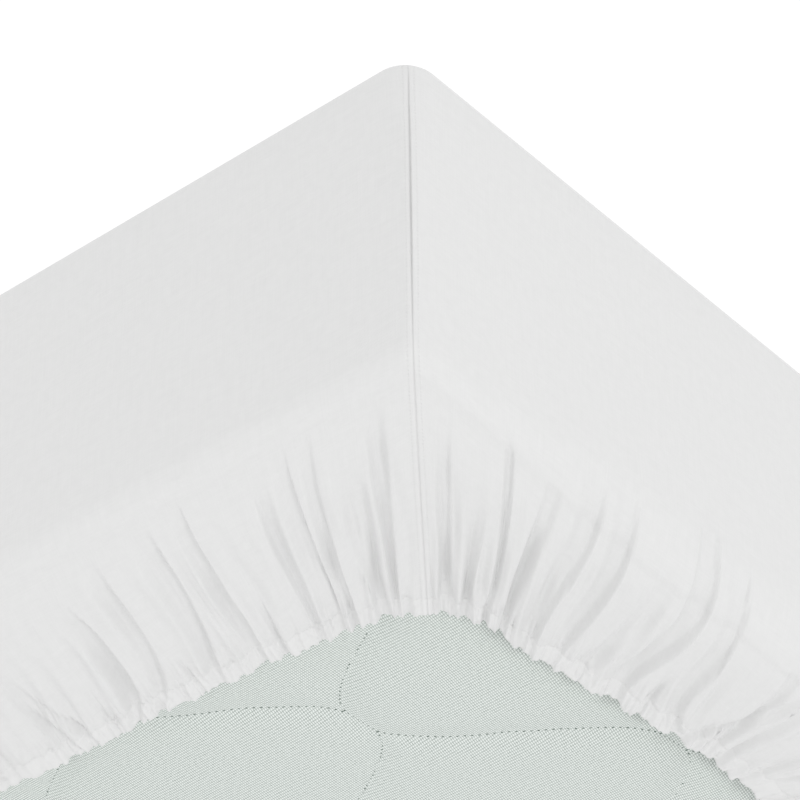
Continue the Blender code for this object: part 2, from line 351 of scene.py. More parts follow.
class Side(Enum):
    """The four walls, walked counter-clockwise, with the quarter turn that brings each from +X."""

    RIGHT = 0
    BACK = 1
    LEFT = 2
    FRONT = 3

    @property
    def is_long(self) -> bool:
        """Whether the wall is one of the two long ones."""
        return self.value % 2 == 0


class PlacedFold(NamedTuple):
    """A fold on its side of the sheet, measured from the side's first or last corner."""

    fold: Fold
    side: Side
    from_last: bool


# The cloth's plan


@dataclass(frozen=True)
class Outline:
    """A rectangle with round corners, in metres, walked from one corner's middle to the next."""

    width: float
    length: float
    radius: float

    @property
    def arc(self) -> float:
        """Half the length of a corner's arc."""
        return self.radius * math.pi / 4

    def span(self, side: Side) -> float:
        """The straight distance between a side's two sharp corners."""
        return self.length if side.is_long else self.width

    def run(self, side: Side) -> float:
        """The distance along the outline between the middles of a side's corners."""
        return self.span(side) - 2 * self.radius + 2 * self.arc

    def points(self, side: Side, share: Array) -> Array:
        """Points of one side.

        Args:
            side: Which side.
            share: Shares of the side's run, from the middle of its first corner.

        Returns:
            An (n, 2) array: along the straight stretch the point moves with the distance, and in a
            corner it turns round the corner's centre by the distance over the radius.
        """
        along = share * self.run(side)
        reach = (self.width if side.is_long else self.length) / 2
        first = np.clip((self.arc - along) / self.radius, 0, math.pi / 4)
        last = np.clip((along - self.run(side) + self.arc) / self.radius, 0, math.pi / 4)
        turn = last - first
        straight = np.clip(along - self.arc, 0, self.run(side) - 2 * self.arc)
        u = straight - self.span(side) / 2 + self.radius + self.radius * np.sin(turn)
        v = reach - self.radius + self.radius * np.cos(turn)
        quarter = side.value * math.pi / 2
        x = v * math.cos(quarter) - u * math.sin(quarter)
        y = v * math.sin(quarter) + u * math.cos(quarter)
        return np.column_stack((x, y))


class GatherPlan:
    """Where the folds of each side lie, and how the cloth comes from the edge to the hem."""

    SEED = 11
    CORNER_FOLDS = 9
    CORNER_SPREAD = 1.35
    WANDER_MM = (-3, 3)
    PLAIN = {
        "start": (0.02, 0.40), "lean": (-0.9, 0.9), "top_depth_mm": (2.0, 5.0),
        "hem_depth_mm": (3.4, 5.0), "top_width_mm": (10, 18), "hem_width_mm": (7, 13),
    }
    CREASES = 58
    CREASES_END_MM = 280
    CREASE_STEP_MM = (2.5, 8.5)
    CREASE_TURN_MM = (-6, 6)
    CREASE_TOP_DEPTH_MM = 0.2
    CREASE_TOP_WIDTH = 0.7
    CREASE = {
        "start": (0.62, 0.86), "hem_depth_mm": (0.4, 2.0), "hem_width_mm": (2.8, 6.0), "lean": (-0.9, 0.9),
    }
    SEAM_MM = 2
    PLAIN_DRIFT = 0.0015
    PLAIN_DRIFT_WAVE = 0.041

    def __init__(self, edge: Outline, hem: Outline, gather: Gather) -> None:
        """Draws the folds of all sides, in the sides' order."""
        self.edge = edge
        self.hem = hem
        self.gather = gather
        random = np.random.default_rng(self.SEED)
        self.folds = [fold for side in Side for fold in self._side(side, random)]

    @staticmethod
    def _draw(side: Side) -> tuple[Knot, ...]:
        """The rows that say how a side's cloth is drawn together beside its corners."""
        return LONG_DRAW if side.is_long else SHORT_DRAW

    def _corner(self, side: Side, random: np.random.Generator) -> list[Fold]:
        """Folds beside a plain corner, at uneven steps along the hem."""
        uneven = self.gather.uneven
        last = self._draw(side)[-1].hem_mm
        steps = np.arange(1, self.CORNER_FOLDS + 1) + random.uniform(-uneven, uneven, self.CORNER_FOLDS)
        places = last * (steps / self.CORNER_FOLDS) ** self.CORNER_SPREAD
        return [self._plain(hem, random) for hem in places]

    def _middle(self, side: Side, random: np.random.Generator) -> list[Fold]:
        """Folds between a side's two corners, closer together where the cloth is fuller."""
        gather = self.gather
        first = self._draw(side)[-1]
        hem_gap = self.hem.run(side) / MM - 2 * first.hem_mm
        edge_gap = self.edge.run(side) / MM - 2 * first.value_mm
        drawn = min(max((edge_gap / hem_gap - 1) / (gather.full_ratio - 1), 0), 1)
        count = round(hem_gap * MM / mix(gather.wide_pitch, gather.narrow_pitch, drawn))
        steps = np.arange(1, count) + random.uniform(-gather.uneven, gather.uneven, count - 1)
        return [self._plain(hem, random) for hem in first.hem_mm + hem_gap * steps / count]

    def _plain(self, hem: float, random: np.random.Generator) -> Fold:
        """A fold at this place of the hem, its shape drawn by lot."""
        lower, upper, edge = hem + np.cumsum(random.uniform(*self.WANDER_MM, 3))
        drawn = {name: random.uniform(*ends) for name, ends in self.PLAIN.items()}
        return Fold(hem, lower, upper, edge, **drawn)

    def _creases(self, random: np.random.Generator) -> list[Fold]:
        """Short narrow creases just above the hem, beside the corner that shows."""
        places = np.cumsum(random.uniform(*self.CREASE_STEP_MM, self.CREASES))
        creases = []
        for hem in places[places < self.CREASES_END_MM]:
            line = hem + random.uniform(*self.CREASE_TURN_MM) * np.arange(4)
            drawn = {name: random.uniform(*ends) for name, ends in self.CREASE.items()}
            drawn["top_depth_mm"] = self.CREASE_TOP_DEPTH_MM
            drawn["top_width_mm"] = self.CREASE_TOP_WIDTH * drawn["hem_width_mm"]
            creases.append(Fold(*line, **drawn))
        return creases

    def _side(self, side: Side, random: np.random.Generator) -> list[PlacedFold]:
        """All folds of one side."""
        first = self._corner(side, random)
        last = self._corner(side, random)
        if side is Side.RIGHT:
            first = list(FRONT_LONG) + self._creases(random)
        if side is Side.FRONT:
            last = list(FRONT_SHORT) + self._creases(random)
        first += self._middle(side, random)
        found = [PlacedFold(fold, side, False) for fold in first]
        return found + [PlacedFold(fold, side, True) for fold in last]

    def edge_at(self, side: Side, hem: Array) -> Array:
        """How far along the edge the cloth lies that comes to these places of the hem.

        Args:
            side: Which side.
            hem: Distances along the hem from the middle of the side's first corner, in metres.

        Returns:
            Distances along the edge, in metres, straight between the rows of the draw table and as wide
            as the hem right beside a seam.
        """
        rows = (Knot(0, 0), Knot(self.SEAM_MM, self.SEAM_MM), *self._draw(side)[1:])
        hem_run = self.hem.run(side) / MM
        edge_run = self.edge.run(side) / MM
        hems = [row.hem_mm for row in rows] + [hem_run - row.hem_mm for row in reversed(rows)]
        edges = [row.value_mm for row in rows] + [edge_run - row.value_mm for row in reversed(rows)]
        return np.interp(hem / MM, hems, edges) * MM

    def drift(self, side: Side, hem: Array) -> Array:
        """How far beyond its ring the hem is drawn in at these places of a side, in metres."""
        if side is Side.RIGHT:
            rows, away = LONG_DRIFT, hem
        elif side is Side.FRONT:
            rows, away = SHORT_DRIFT, self.hem.run(side) - hem
        else:
            return self.PLAIN_DRIFT * np.sin(hem / self.PLAIN_DRIFT_WAVE)
        return np.interp(away / MM, *zip(*rows)) * MM


@dataclass
class Columns:
    """All columns of the cloth, all the way round, as arrays with one value a column.

    Attributes:
        side: The number of its side.
        hem: Its distance along the hem, from the middle of the side's first corner.
        edge_total: Its distance along the edge, all the way round.
        seam_edge, seam_hem: Its distances from the nearest seam along both, below 0 before the seam.
        widening: How much wider the cloth is at the edge than at the hem.
        phase: The number of ruches up to it.
        face_plan, edge_plan, hem_plan: Its place at the sleeping face, the upper edge and the free edge.
        radius: The upper edge's rounding.
    """

    side: Array
    hem: Array
    edge_total: Array
    seam_edge: Array
    seam_hem: Array
    widening: Array
    phase: Array
    face_plan: Array
    edge_plan: Array
    hem_plan: Array
    radius: Array

    @property
    def count(self) -> int:
        """How many columns there are."""
        return len(self.hem)


class ColumnMaker:
    """Places the columns: close together beside the corner that shows, wider elsewhere."""

    SEAM_STEPS_MM = (0.25, 0.5, 0.8, 1.2, 1.7, 2.3)
    SAMPLES = 6000

    def __init__(self, body: Body, hem: Hem, gather: Gather, grain: Grain) -> None:
        """Makes the outlines and the folds' plan that the columns follow."""
        self.body = body
        self.gather = gather
        self.grain = grain
        self.face = Outline(body.width, body.length, body.corner_radius)
        self.upper = Outline(body.width, body.length, body.seam_radius)
        inner = (body.width - 2 * hem.from_long, body.length - 2 * hem.from_short)
        self.ring = Outline(*inner, hem.corner_radius)
        self.plan = GatherPlan(self.face, self.ring, gather)

    def nearness(self, side: Side, hem: Array) -> Array:
        """1 beside the corner that shows and 0 away from it."""
        run = self.ring.run(side)
        away = np.full_like(hem, run)
        if side is Side.RIGHT:
            away = hem
        elif side is Side.FRONT:
            away = run - hem
        return 1 - smooth(self.grain.near_reach, self.grain.near_reach + self.grain.blend, away)

    def _places(self, side: Side) -> Array:
        """The columns' distances along one side of the hem, an even number of them."""
        run = self.ring.run(side)
        seam = np.array(self.SEAM_STEPS_MM) * MM
        fine = np.linspace(seam[-1], run - seam[-1], self.SAMPLES)
        inner = graded(fine, mix(self.grain.far, self.grain.near, self.nearness(side, fine)), True)
        return np.concatenate(([0.0], seam[:-1], inner, run - seam[-2::-1]))

    def _side(self, side: Side, total: float) -> dict[str, Array]:
        """The columns of one side, before which the edge is this long in all."""
        hem = self._places(side)
        edge = self.plan.edge_at(side, hem)
        hem_run = self.ring.run(side)
        edge_run = self.face.run(side)
        own = self.body.long_radius if side.is_long else self.body.short_radius
        from_seam = bell(np.minimum(edge, edge_run - edge), self.body.edge_blend)
        pitch = mix(self.gather.coarse_pitch, self.gather.fine_pitch, self.nearness(side, hem))
        edge_plan = self.upper.points(side, edge / edge_run)
        hem_plan = self.ring.points(side, hem / hem_run)
        way = hem_plan - edge_plan
        way /= np.linalg.norm(way, axis=1)[:, None]
        return {
            "side": np.full(len(hem), side.value),
            "hem": hem,
            "edge_total": edge + total,
            "seam_edge": np.where(edge < edge_run / 2, edge, edge - edge_run),
            "seam_hem": np.where(hem < hem_run / 2, hem, hem - hem_run),
            "widening": np.gradient(edge, hem),
            "phase": np.cumsum(np.gradient(hem) / pitch),
            "face_plan": self.face.points(side, edge / edge_run),
            "edge_plan": edge_plan,
            "hem_plan": hem_plan + way * self.plan.drift(side, hem)[:, None],
            "radius": own + (self.body.long_radius - own) * from_seam,
        }

    def make(self) -> Columns:
        """All columns, side by side in order."""
        parts = []
        total = 0.0
        for side in Side:
            parts.append(self._side(side, total))
            total += self.face.run(side)
        return Columns(**{name: np.concatenate([part[name] for part in parts]) for name in parts[0]})


# Meshes


def put(name: str, data: bpy.types.ID) -> bpy.types.Object:
    """Puts an object of this data into the scene, at the origin."""
    thing = bpy.data.objects.new(name, data)
    bpy.context.scene.collection.objects.link(thing)
    return thing


class RingMesh:
    """A surface that grows ring by ring, with named values at its points."""

    def __init__(self) -> None:
        """Starts without a point."""
        self.points: list[Array] = []
        self.values: dict[str, list[Array]] = {}
        self.faces: list[list[int]] = []
        self.last: Array | None = None
        self.count = 0

    def _add(self, points: Array, values: dict[str, Array]) -> Array:
        """Adds points with their values, and gives their numbers."""
        self.points.append(points)
        for name, rows in values.items():
            self.values.setdefault(name, []).append(rows)
        self.count += len(points)
        return np.arange(self.count - len(points), self.count)

    def begin(self, points: Array, faces: Array, rim: Array) -> None:
        """Starts with a finished patch, whose rim is the first ring.

        Args:
            points: Its (n, 3) points.
            faces: Its faces, a row of point numbers each.
            rim: The point numbers of its rim, in order.
        """
        self._add(points, {})
        self.faces = faces.tolist()
        self.last = rim

    def ring(self, points: Array, values: dict[str, Array]) -> None:
        """Adds a ring and joins it to the one before.

        Args:
            points: Its (n, 3) points. A ring may have as many points as the one before, half as many
                or twice as many.
            values: Its (n, 3) values by name.
        """
        ring = self._add(points, values)
        if self.last is not None:
            if len(self.last) == len(ring):
                self._quads(self.last, ring)
            elif len(self.last) < len(ring):
                self._halving(self.last, ring, False)
            else:
                self._halving(ring, self.last, True)
        self.last = ring

    def _quads(self, before: Array, after: Array) -> None:
        """Joins two rings of as many points, one quad a gap."""
        quads = np.column_stack((before, np.roll(before, -1), np.roll(after, -1), after))
        self.faces += quads.tolist()

    def _halving(self, coarse: Array, fine: Array, turned: bool) -> None:
        """Joins a ring to one of twice its points, three triangles a gap."""
        ahead = np.roll(coarse, -1)
        even, odd = fine[0::2], fine[1::2]
        corners = ((coarse, ahead, odd), (coarse, odd, even), (ahead, np.roll(even, -1), odd))
        found = np.concatenate([np.column_stack(three) for three in corners])
        self.faces += (found[:, ::-1] if turned else found).tolist()

    def close(self, point: Array, values: dict[str, Array], at_start: bool) -> None:
        """Closes the first or the last ring with a fan about a point."""
        middle = self._add(point, values)
        ring = np.arange(len(self.points[0])) if at_start else self.last
        ahead = np.roll(ring, -1)
        pair = (ahead, ring) if at_start else (ring, ahead)
        self.faces += np.column_stack((*pair, np.full(len(ring), middle[0]))).tolist()

    def build(self, name: str, material: bpy.types.Material) -> bpy.types.Object:
        """Makes the object, at the origin, with its values as point attributes."""
        mesh = bpy.data.meshes.new(name)
        mesh.from_pydata(np.concatenate(self.points).tolist(), [], self.faces)
        for value_name, rows in self.values.items():
            attribute = mesh.attributes.new(value_name, "FLOAT_VECTOR", "POINT")
            attribute.data.foreach_set("vector", np.concatenate(rows).astype(np.float32).ravel())
        mesh.update()
        mesh.shade_smooth()
        mesh.materials.append(material)
        return put(name, mesh)


# The cloth


class FittedSheet:
    """The whole sheet as one surface: sleeping face, walls, edge, gathers and hem.

    Where a pattern runs along the hem, each side has its own stretch of it, a shift of some metres apart.
    """

    HEM_ROWS_MM = (33.0, 27.0, 22.0, 19.0, 17.2, 16.4, 16.0, 15.6, 14.4, 12.0, 9.0, 6.0, 3.2, 1.2, 0.0)
    FIELD_ROWS = 17
    ARC_STEPS = 8
    WALL_STEPS = 7
    FACE_STEPS = 3
    FACE_INSET = 0.08
    FACE_ALONG = -0.04
    MIDDLE_ALONG = -0.4
    WINDOW = 0.024
    START_REACH = 0.20
    # Where a fold's painted highlight is full, by depth, and the shares of the way over which it fades in.
    HIGHLIGHT_FULL_DEPTH = 2.5 * MM
    HIGHLIGHT_FADE = (0.04, 0.14)
    FLOOR_ROOM = 0.0008
    RUCHE_SHIFT = 3.1
    RUCHE_WAVES = (0.0061, 0.0137, 0.019)
    TOOTH_SHIFT = 2.3
    TOOTH_WAVES = (0.013, 0.0085, 0.031)
    TOOTH_CALM = 0.016
    RIPPLE_SHIFT = 2.7
    RIPPLE_FADE = (0.1, 0.6)
    CREASE_SHIFT = 1.3
    CREASE_AT = 0.015
    CREASE_REACH = 0.022
    SEAM_CALM = 0.006

    def __init__(self, body: Body, hem: Hem, gather: Gather, seam: Seam, grain: Grain) -> None:
        """Places the columns and finds which of them each fold can reach."""
        self.body = body
        self.hem = hem
        self.gather = gather
        self.seam = seam
        maker = ColumnMaker(body, hem, gather, grain)
        self.columns = maker.make()
        self.folds = maker.plan.folds
        self.run = {side.value: maker.ring.run(side) for side in Side}
        self.reached = [self._near(placed) for placed in self.folds]
        self.ripples = Ripples(0.022, 0.16, 5)
        self.creases = Ripples(0.0085, 0.07, 6)
        self.crinkles = Ripples(0.0105, 0.05, 8)
        self.swell = Ripples(0.30, 0.35, 7)
        way = self.columns.hem_plan - self.columns.edge_plan
        self.reach = np.linalg.norm(way, axis=1)
        self.inward = way / self.reach[:, None]

    def _from_corner(self, placed: PlacedFold) -> Array:
        """Each column's distance along the hem from the corner that a fold is measured from."""
        hem = self.columns.hem
        return self.run[placed.side.value] - hem if placed.from_last else hem

    def _near(self, placed: PlacedFold) -> Array:
        """The numbers of the columns that one fold can reach."""
        fold = placed.fold
        away = self._from_corner(placed)
        places = np.array((fold.hem_mm, fold.lower_mm, fold.upper_mm, fold.edge_mm)) * MM
        inside = (away > places.min() - self.WINDOW) & (away < places.max() + self.WINDOW)
        return np.flatnonzero(inside & (self.columns.side == placed.side.value))

    @staticmethod
    def floor_line(fold: Fold, way: Array) -> Array:
        """Where a fold's floor lies, in metres: the cubic through its four places."""
        third = 1 / 3
        edge = (1 - way) * (third - way) * (2 * third - way) * 4.5 * fold.edge_mm
        upper = way * (2 * third - way) * (1 - way) * 13.5 * fold.upper_mm
        lower = way * (way - third) * (1 - way) * 13.5 * fold.lower_mm
        hem = way * (way - third) * (way - 2 * third) * 4.5 * fold.hem_mm
        return (edge + upper + lower + hem) * MM

    def relief(self, share: Array) -> tuple[Array, Array]:
        """The folds of the gathers, for one row.

        A fold is a valley whose two sides are soft steps from its floor to its brim. Its lean shares the
        whole width out between them. Its depth and width go evenly from the ones at its start to the
        ones at the hem. Where folds meet their depths add up, but level off. Along a steep side's brim
        it also gives a thin strip of painted highlight, a lighter colour; the heights are not changed by it.

        Args:
            share: Each column's share of the way from the edge to the hem.

        Returns:
            Heights in metres, below 0, and how strong the painted highlight is at each column, from 0 to 1.
        """
        gather = self.gather
        total = np.zeros(self.columns.count)
        painted_highlights = np.zeros(self.columns.count)
        for placed, near in zip(self.folds, self.reached):
            fold = placed.fold
            way = share[near]
            scale = mix(self.columns.widening[near], 1.0, way)
            off = (self._from_corner(placed)[near] - self.floor_line(fold, np.clip(way, 0, 1))) * scale
            grown = smooth(fold.start, 1.0, way)
            width = mix(fold.top_width_mm, fold.hem_width_mm, grown) * MM
            depth = mix(fold.top_depth_mm, fold.hem_depth_mm, grown) * MM
            depth = depth * smooth(fold.start, fold.start + self.START_REACH, way)
            toward = np.maximum(width * (1 - fold.lean) / 2, gather.steep_side)
            beyond = np.maximum(width * (1 + fold.lean) / 2, gather.steep_side)
            shape = 1 - smooth(gather.floor, 1.0, np.where(off < 0, -off / toward, off / beyond))
            total[near] += depth * shape
            brim = off + toward if fold.lean > 0 else off - beyond
            # Painted highlight: a lighter strip of colour along a steep side's brim, fuller on deeper folds.
            painted_highlight = bell(brim, gather.painted_highlight) * abs(fold.lean) * np.clip(depth / self.HIGHLIGHT_FULL_DEPTH, 0, 1)
            painted_highlights[near] = np.maximum(painted_highlights[near], painted_highlight * smooth(*self.HIGHLIGHT_FADE, way))
        return -gather.deepest * np.tanh(total / gather.deepest), painted_highlights

    def soft_floor(self, height: Array, lowest: float | Array) -> Array:
        """Keeps heights above the lowest one, softly."""
        over = height - lowest
        return lowest + (over + np.sqrt(over**2 + self.FLOOR_ROOM**2)) / 2

    def fold_height(self, share: Array) -> Array:
        """The height of the gathers over the underside's plane, for one row.

        The cloth rises softly from the edge, is highest a third of the way in, and slopes down to the hem.
        The folds stand on it, and are a little shallower within the hem's band.

        Args:
            share: Each column's share of the way from the edge to the hem.

        Returns:
            Heights in metres.
        """
        gather = self.gather
        rise = smooth(0.0, gather.rise, share) * (1 - gather.fall * smooth(gather.fall_from, 1.0, share))
        relief, _ = self.relief(share)
        return gather.crest * rise + relief * (1 - gather.held * smooth(*gather.held_over, share))

    def hem_height(self, to_hem: Array) -> Array:
        """What the hem's tunnel, its stitch line and its small ruches add to the height of a row.

        The tunnel's section is an arch, the stitch line a bell, and a ruche the arch of a sine whose phase
        wanders.
        """
        columns = self.columns
        hem = self.hem
        middle = np.clip(1 - ((to_hem - hem.band / 2) / (hem.band / 2)) ** 2, 0, 1)
        puff = hem.puff * np.sqrt(middle)
        dip = hem.stitch_dip * bell(to_hem - hem.band, hem.stitch_width)
        place = columns.hem + columns.side * self.RUCHE_SHIFT
        first, second, swelling = self.RUCHE_WAVES
        wander = 0.55 * np.sin(place / first) + 0.45 * np.sin(place / second + 1.0)
        ruche = np.abs(np.sin(np.pi * (columns.phase + 0.35 * wander))) ** 0.8 - 0.6
        size = hem.ruche * (0.6 + 0.4 * np.sin(place / swelling)) * bell(to_hem, hem.ruche_reach)
        return puff - dip + size * ruche * 2

    def teeth(self, to_hem: Array) -> Array:
        """How far the free edge stands further in at a ruche, fading within the tunnel.

        A tooth is a saw with soft flanks, on a slow wave. They are smaller right beside a seam.
        """
        columns = self.columns
        place = columns.hem + columns.side * self.TOOTH_SHIFT
        wander, first, second = self.TOOTH_WAVES
        turn = columns.phase * 0.83 + 0.4 * np.sin(place / wander)
        saw = turn - np.floor(turn)
        tooth = smooth(0.0, 0.25, saw) * (1 - smooth(0.35, 1.0, saw)) - 0.45
        slow = np.sin(place / first) * np.sin(place / second)
        calm = 1 - 0.6 * bell(columns.seam_hem, self.TOOTH_CALM)
        fade = 1 - smooth(0, self.hem.tooth_reach, to_hem)
        return self.hem.tooth * (tooth + 0.6 * slow) * calm * fade

    def creasing(self, to_hem: Array) -> Array:
        """Small creases along the gathers, strongest a little way above the hem, with none at a seam.

        The crinkles are the product of two ripples that cross, flattened by a tanh.
        """
        columns = self.columns
        gather = self.gather
        place = columns.seam_edge + self.RIPPLE_SHIFT * columns.side
        wide = self.ripples.at(place, to_hem) * gather.ripple
        wide = wide * smooth(*self.RIPPLE_FADE, 1 - to_hem / self.reach)
        along = columns.hem + self.CREASE_SHIFT * columns.side
        small = self.creases.at(along, to_hem)
        lean = self.crinkles.at(along + 0.8 * to_hem, to_hem - 0.8 * along)
        other = self.crinkles.at(to_hem * 1.1 - 0.6 * along + 0.37, along + 0.5 * to_hem)
        fade = bell(to_hem - self.CREASE_AT, self.CREASE_REACH)
        calm = 1 - bell(columns.seam_hem, self.SEAM_CALM)
        return (wide + (small * gather.crease + np.tanh(lean * other) * gather.crinkle) * fade) * calm

    def row_over(self, to_hem: Array, under: float = 0.0) -> tuple[Array, Array]:
        """One row of the cloth over the underside.

        Args:
            to_hem: Each column's distance from the free edge, in metres.
            under: How far below the outer face it lies, in metres.

        Returns:
            The (n, 2) plan points and the heights.
        """
        columns = self.columns
        from_edge = self.reach - to_hem + self.teeth(to_hem)
        plan = columns.edge_plan + self.inward * from_edge[:, None]
        share = 1 - to_hem / self.reach
        height = self.fold_height(share) + self.hem_height(to_hem)
        height = height + self.creasing(to_hem)
        height = height - self.seam.dip(mix(columns.seam_edge, columns.seam_hem, share))
        inner = smooth(self.hem.band, 3 * self.hem.band, to_hem)
        lowest = mix(self.hem.lowest, self.gather.lowest, inner)
        return plan, self.body.height + self.soft_floor(height, lowest) - under

    def add(
        self, mesh: RingMesh, plan: Array, height: Array, along: Array, to_hem: Array, step: int = 1
    ) -> None:
        """Adds one row of the cloth, with its own coordinates.

        Args:
            mesh: The mesh that grows.
            plan: The row's (n, 2) plan points.
            height: Its heights.
            along: Its distance from the sleeping face's edge, along the cloth.
            to_hem: Its distance from the hem's free edge, along the cloth.
            step: 1 for every column, 2 for every other one.
        """
        columns = self.columns
        full = np.ones(columns.count)
        share = np.clip(1 - to_hem / self.reach, 0, 1)
        across = mix(columns.seam_edge, columns.seam_hem, share)
        _, painted_highlights = self.relief(share * full)
        cloth = np.column_stack((columns.edge_total, along * full, 0 * full))
        # The third value of sewing carries the painted highlight along the folds' brims.
        sewing = np.column_stack((across, to_hem * full, painted_highlights))
        points = np.column_stack((plan, height * full))
        mesh.ring(points[::step], {"cloth": cloth[::step], "sewing": sewing[::step]})

    @staticmethod
    def outward(plan: Array) -> Array:
        """The way out of the wall at each column, from the columns beside it."""
        tangent = np.roll(plan, -1, axis=0) - np.roll(plan, 1, axis=0)
        normal = np.column_stack((tangent[:, 1], -tangent[:, 0]))
        return normal / np.linalg.norm(normal, axis=1)[:, None]

    def add_face(self, mesh: RingMesh) -> None:
        """The sleeping face and the small round edge about it."""
        plan = self.columns.face_plan
        radius = self.body.face_radius
        far = self.body.height + self.reach
        self.add(mesh, plan * (1 - self.FACE_INSET), 0.0, self.FACE_ALONG, far, 2)
        toward = -self.outward(plan)
        for step in range(self.FACE_STEPS):
            angle = QUARTER * step / self.FACE_STEPS
            place = plan + toward * radius * (1 - math.sin(angle))
            self.add(mesh, place, radius * (1 - math.cos(angle)), radius * angle, far, 2)

    def add_wall(self, mesh: RingMesh) -> None:
        """The wall from the sleeping face's edge up to the round upper edge."""
        columns = self.columns
        body = self.body
        outward = self.outward(columns.edge_plan)
        swell = self.swell.at(columns.edge_total, columns.edge_total * 0)
        for step in range(self.WALL_STEPS + 1):
            share = step / self.WALL_STEPS
            height = mix(body.face_radius, body.height - columns.radius, share)
            taper = smooth(body.face_radius, body.seam_taper, height)[:, None]
            plan = mix(columns.face_plan, columns.edge_plan, taper)
            bulge = self.gather.swell * swell * math.sin(math.pi * share)
            dip = self.seam.dip(columns.seam_edge) * smooth(0, 0.2, share + 0.05)
            plan = plan + outward * (bulge - dip)[:, None]
            self.add(mesh, plan, height, height, self.reach + body.height - height, 2)

    def add_edge(self, mesh: RingMesh) -> None:
        """The round upper edge, a quarter circle on which the folds already stand."""
        columns = self.columns
        high = self.body.height - columns.radius
        for step in range(1, self.ARC_STEPS + 1):
            angle = QUARTER * step / self.ARC_STEPS
            inset = columns.radius * (1 - math.cos(angle))
            lowest = mix(self.gather.lowest_at_edge, self.gather.lowest, math.sin(angle) ** 2)
            out = self.soft_floor(self.fold_height(inset / self.reach), lowest)
            out = out - self.seam.dip(columns.seam_edge)
            height = high + (columns.radius + out) * math.sin(angle)
            plan = columns.edge_plan + self.inward * (inset - out * math.cos(angle))[:, None]
            self.add(mesh, plan, height, high + columns.radius * angle, self.reach - inset, 2)

    def add_gathers(self, mesh: RingMesh) -> None:
        """The gathers from the round edge to the hem's free edge."""
        first = self.reach - self.columns.radius
        near_hem = self.HEM_ROWS_MM[0] * MM
        rows = [mix(first, near_hem, step / self.FIELD_ROWS) for step in range(1, self.FIELD_ROWS)]
        rows += [np.full(self.columns.count, row * MM) for row in self.HEM_ROWS_MM]
        for to_hem in rows:
            self.add(mesh, *self.row_over(to_hem), self.body.height + self.reach - to_hem, to_hem)

    def add_turn(self, mesh: RingMesh) -> None:
        """The hem's free edge, rolled under, and the inner side of its tunnel."""
        roll = self.hem.roll
        end = self.body.height + self.reach
        plan, height = self.row_over(np.zeros(self.columns.count))
        for angle in (math.pi / 3, 2 * math.pi / 3):
            out = self.inward * (roll * math.sin(angle))
            down = roll * (1 - math.cos(angle))
            self.add(mesh, plan + out, height - down, end, -roll * angle)
        for back in (0.0, self.hem.turned_in):
            under = self.row_over(np.full(self.columns.count, back), 2 * roll)
            self.add(mesh, *under, end + back, back)

    def build(self, material: bpy.types.Material) -> bpy.types.Object:
        """Makes the cloth as one mesh, coarser below the gathers."""
        mesh = RingMesh()
        self.add_face(mesh)
        self.add_wall(mesh)
        self.add_edge(mesh)
        self.add_gathers(mesh)
        self.add_turn(mesh)
        start = {name: np.array([[0.0, self.MIDDLE_ALONG, 0.0]]) for name in ("cloth", "sewing")}
        mesh.close(np.zeros((1, 3)), start, True)
        return mesh.build("fitted_sheet_cloth", material)


# The mattress


@dataclass(frozen=True)
class Quilting:
    """The quilting's wavy lines, which meet in short straight stretches.

    Attributes:
        half_across: Half the distance between two meeting places along Y, in metres.
        row: The distance between two rows of meeting places along X, in metres.
        origin: A meeting place, in metres from the photo's corner along Y and back along X.
        run_together: How long two lines run together where they meet, in metres.
        depth: How deep the stitching draws the ticking in, in metres.
        spread: How far the drawn-in stretch reaches to each side, in metres.
    """

    half_across: float = 0.125
    row: float = 0.140
    origin: tuple[float, float] = (0.260, 0.263)
    run_together: float = 0.020
    depth: float = 0.0036
    spread: float = 0.0120

    LINES = tuple((number, way) for number in range(-2, 10) for way in (-1, 1))

    def line(self, back: Array, number: int, way: int) -> tuple[Array, Array]:
        """One line's place.

        It goes from one meeting place to the next by a soft step, and changes its way each row.

        Args:
            back: Distances from the wall that faces +X, in metres.
            number: Which of the parallel lines.
            way: 1 or -1, the line's first direction.

        Returns:
            Its distance from the wall that faces -Y, and its slope.
        """
        rows = (back - self.origin[1]) / self.row
        whole = np.floor(rows)
        low = self.run_together / 2 / self.row
        step = np.clip((rows - whole - low) / (1 - 2 * low), 0, 1)
        slope = 6 * step * (1 - step) / (1 - 2 * low) / self.row
        turned = np.where(whole % 2 == 0, way, -way)
        start = np.where(whole % 2 == 0, 0.0, way)
        moved = turned * smooth(0.0, 1.0, step)
        place = self.origin[0] + self.half_across * (2 * number + start + moved)
        return place, self.half_across * turned * slope

    def nearest(self, along: Array, back: Array) -> Array:
        """How far each point lies from the nearest line, in metres."""
        best = np.full(np.broadcast(along, back).shape, 1.0)
        for number, way in self.LINES:
            place, slope = self.line(back, number, way)
            best = np.minimum(best, np.abs(along - place) / np.sqrt(1 + slope**2))
        return best


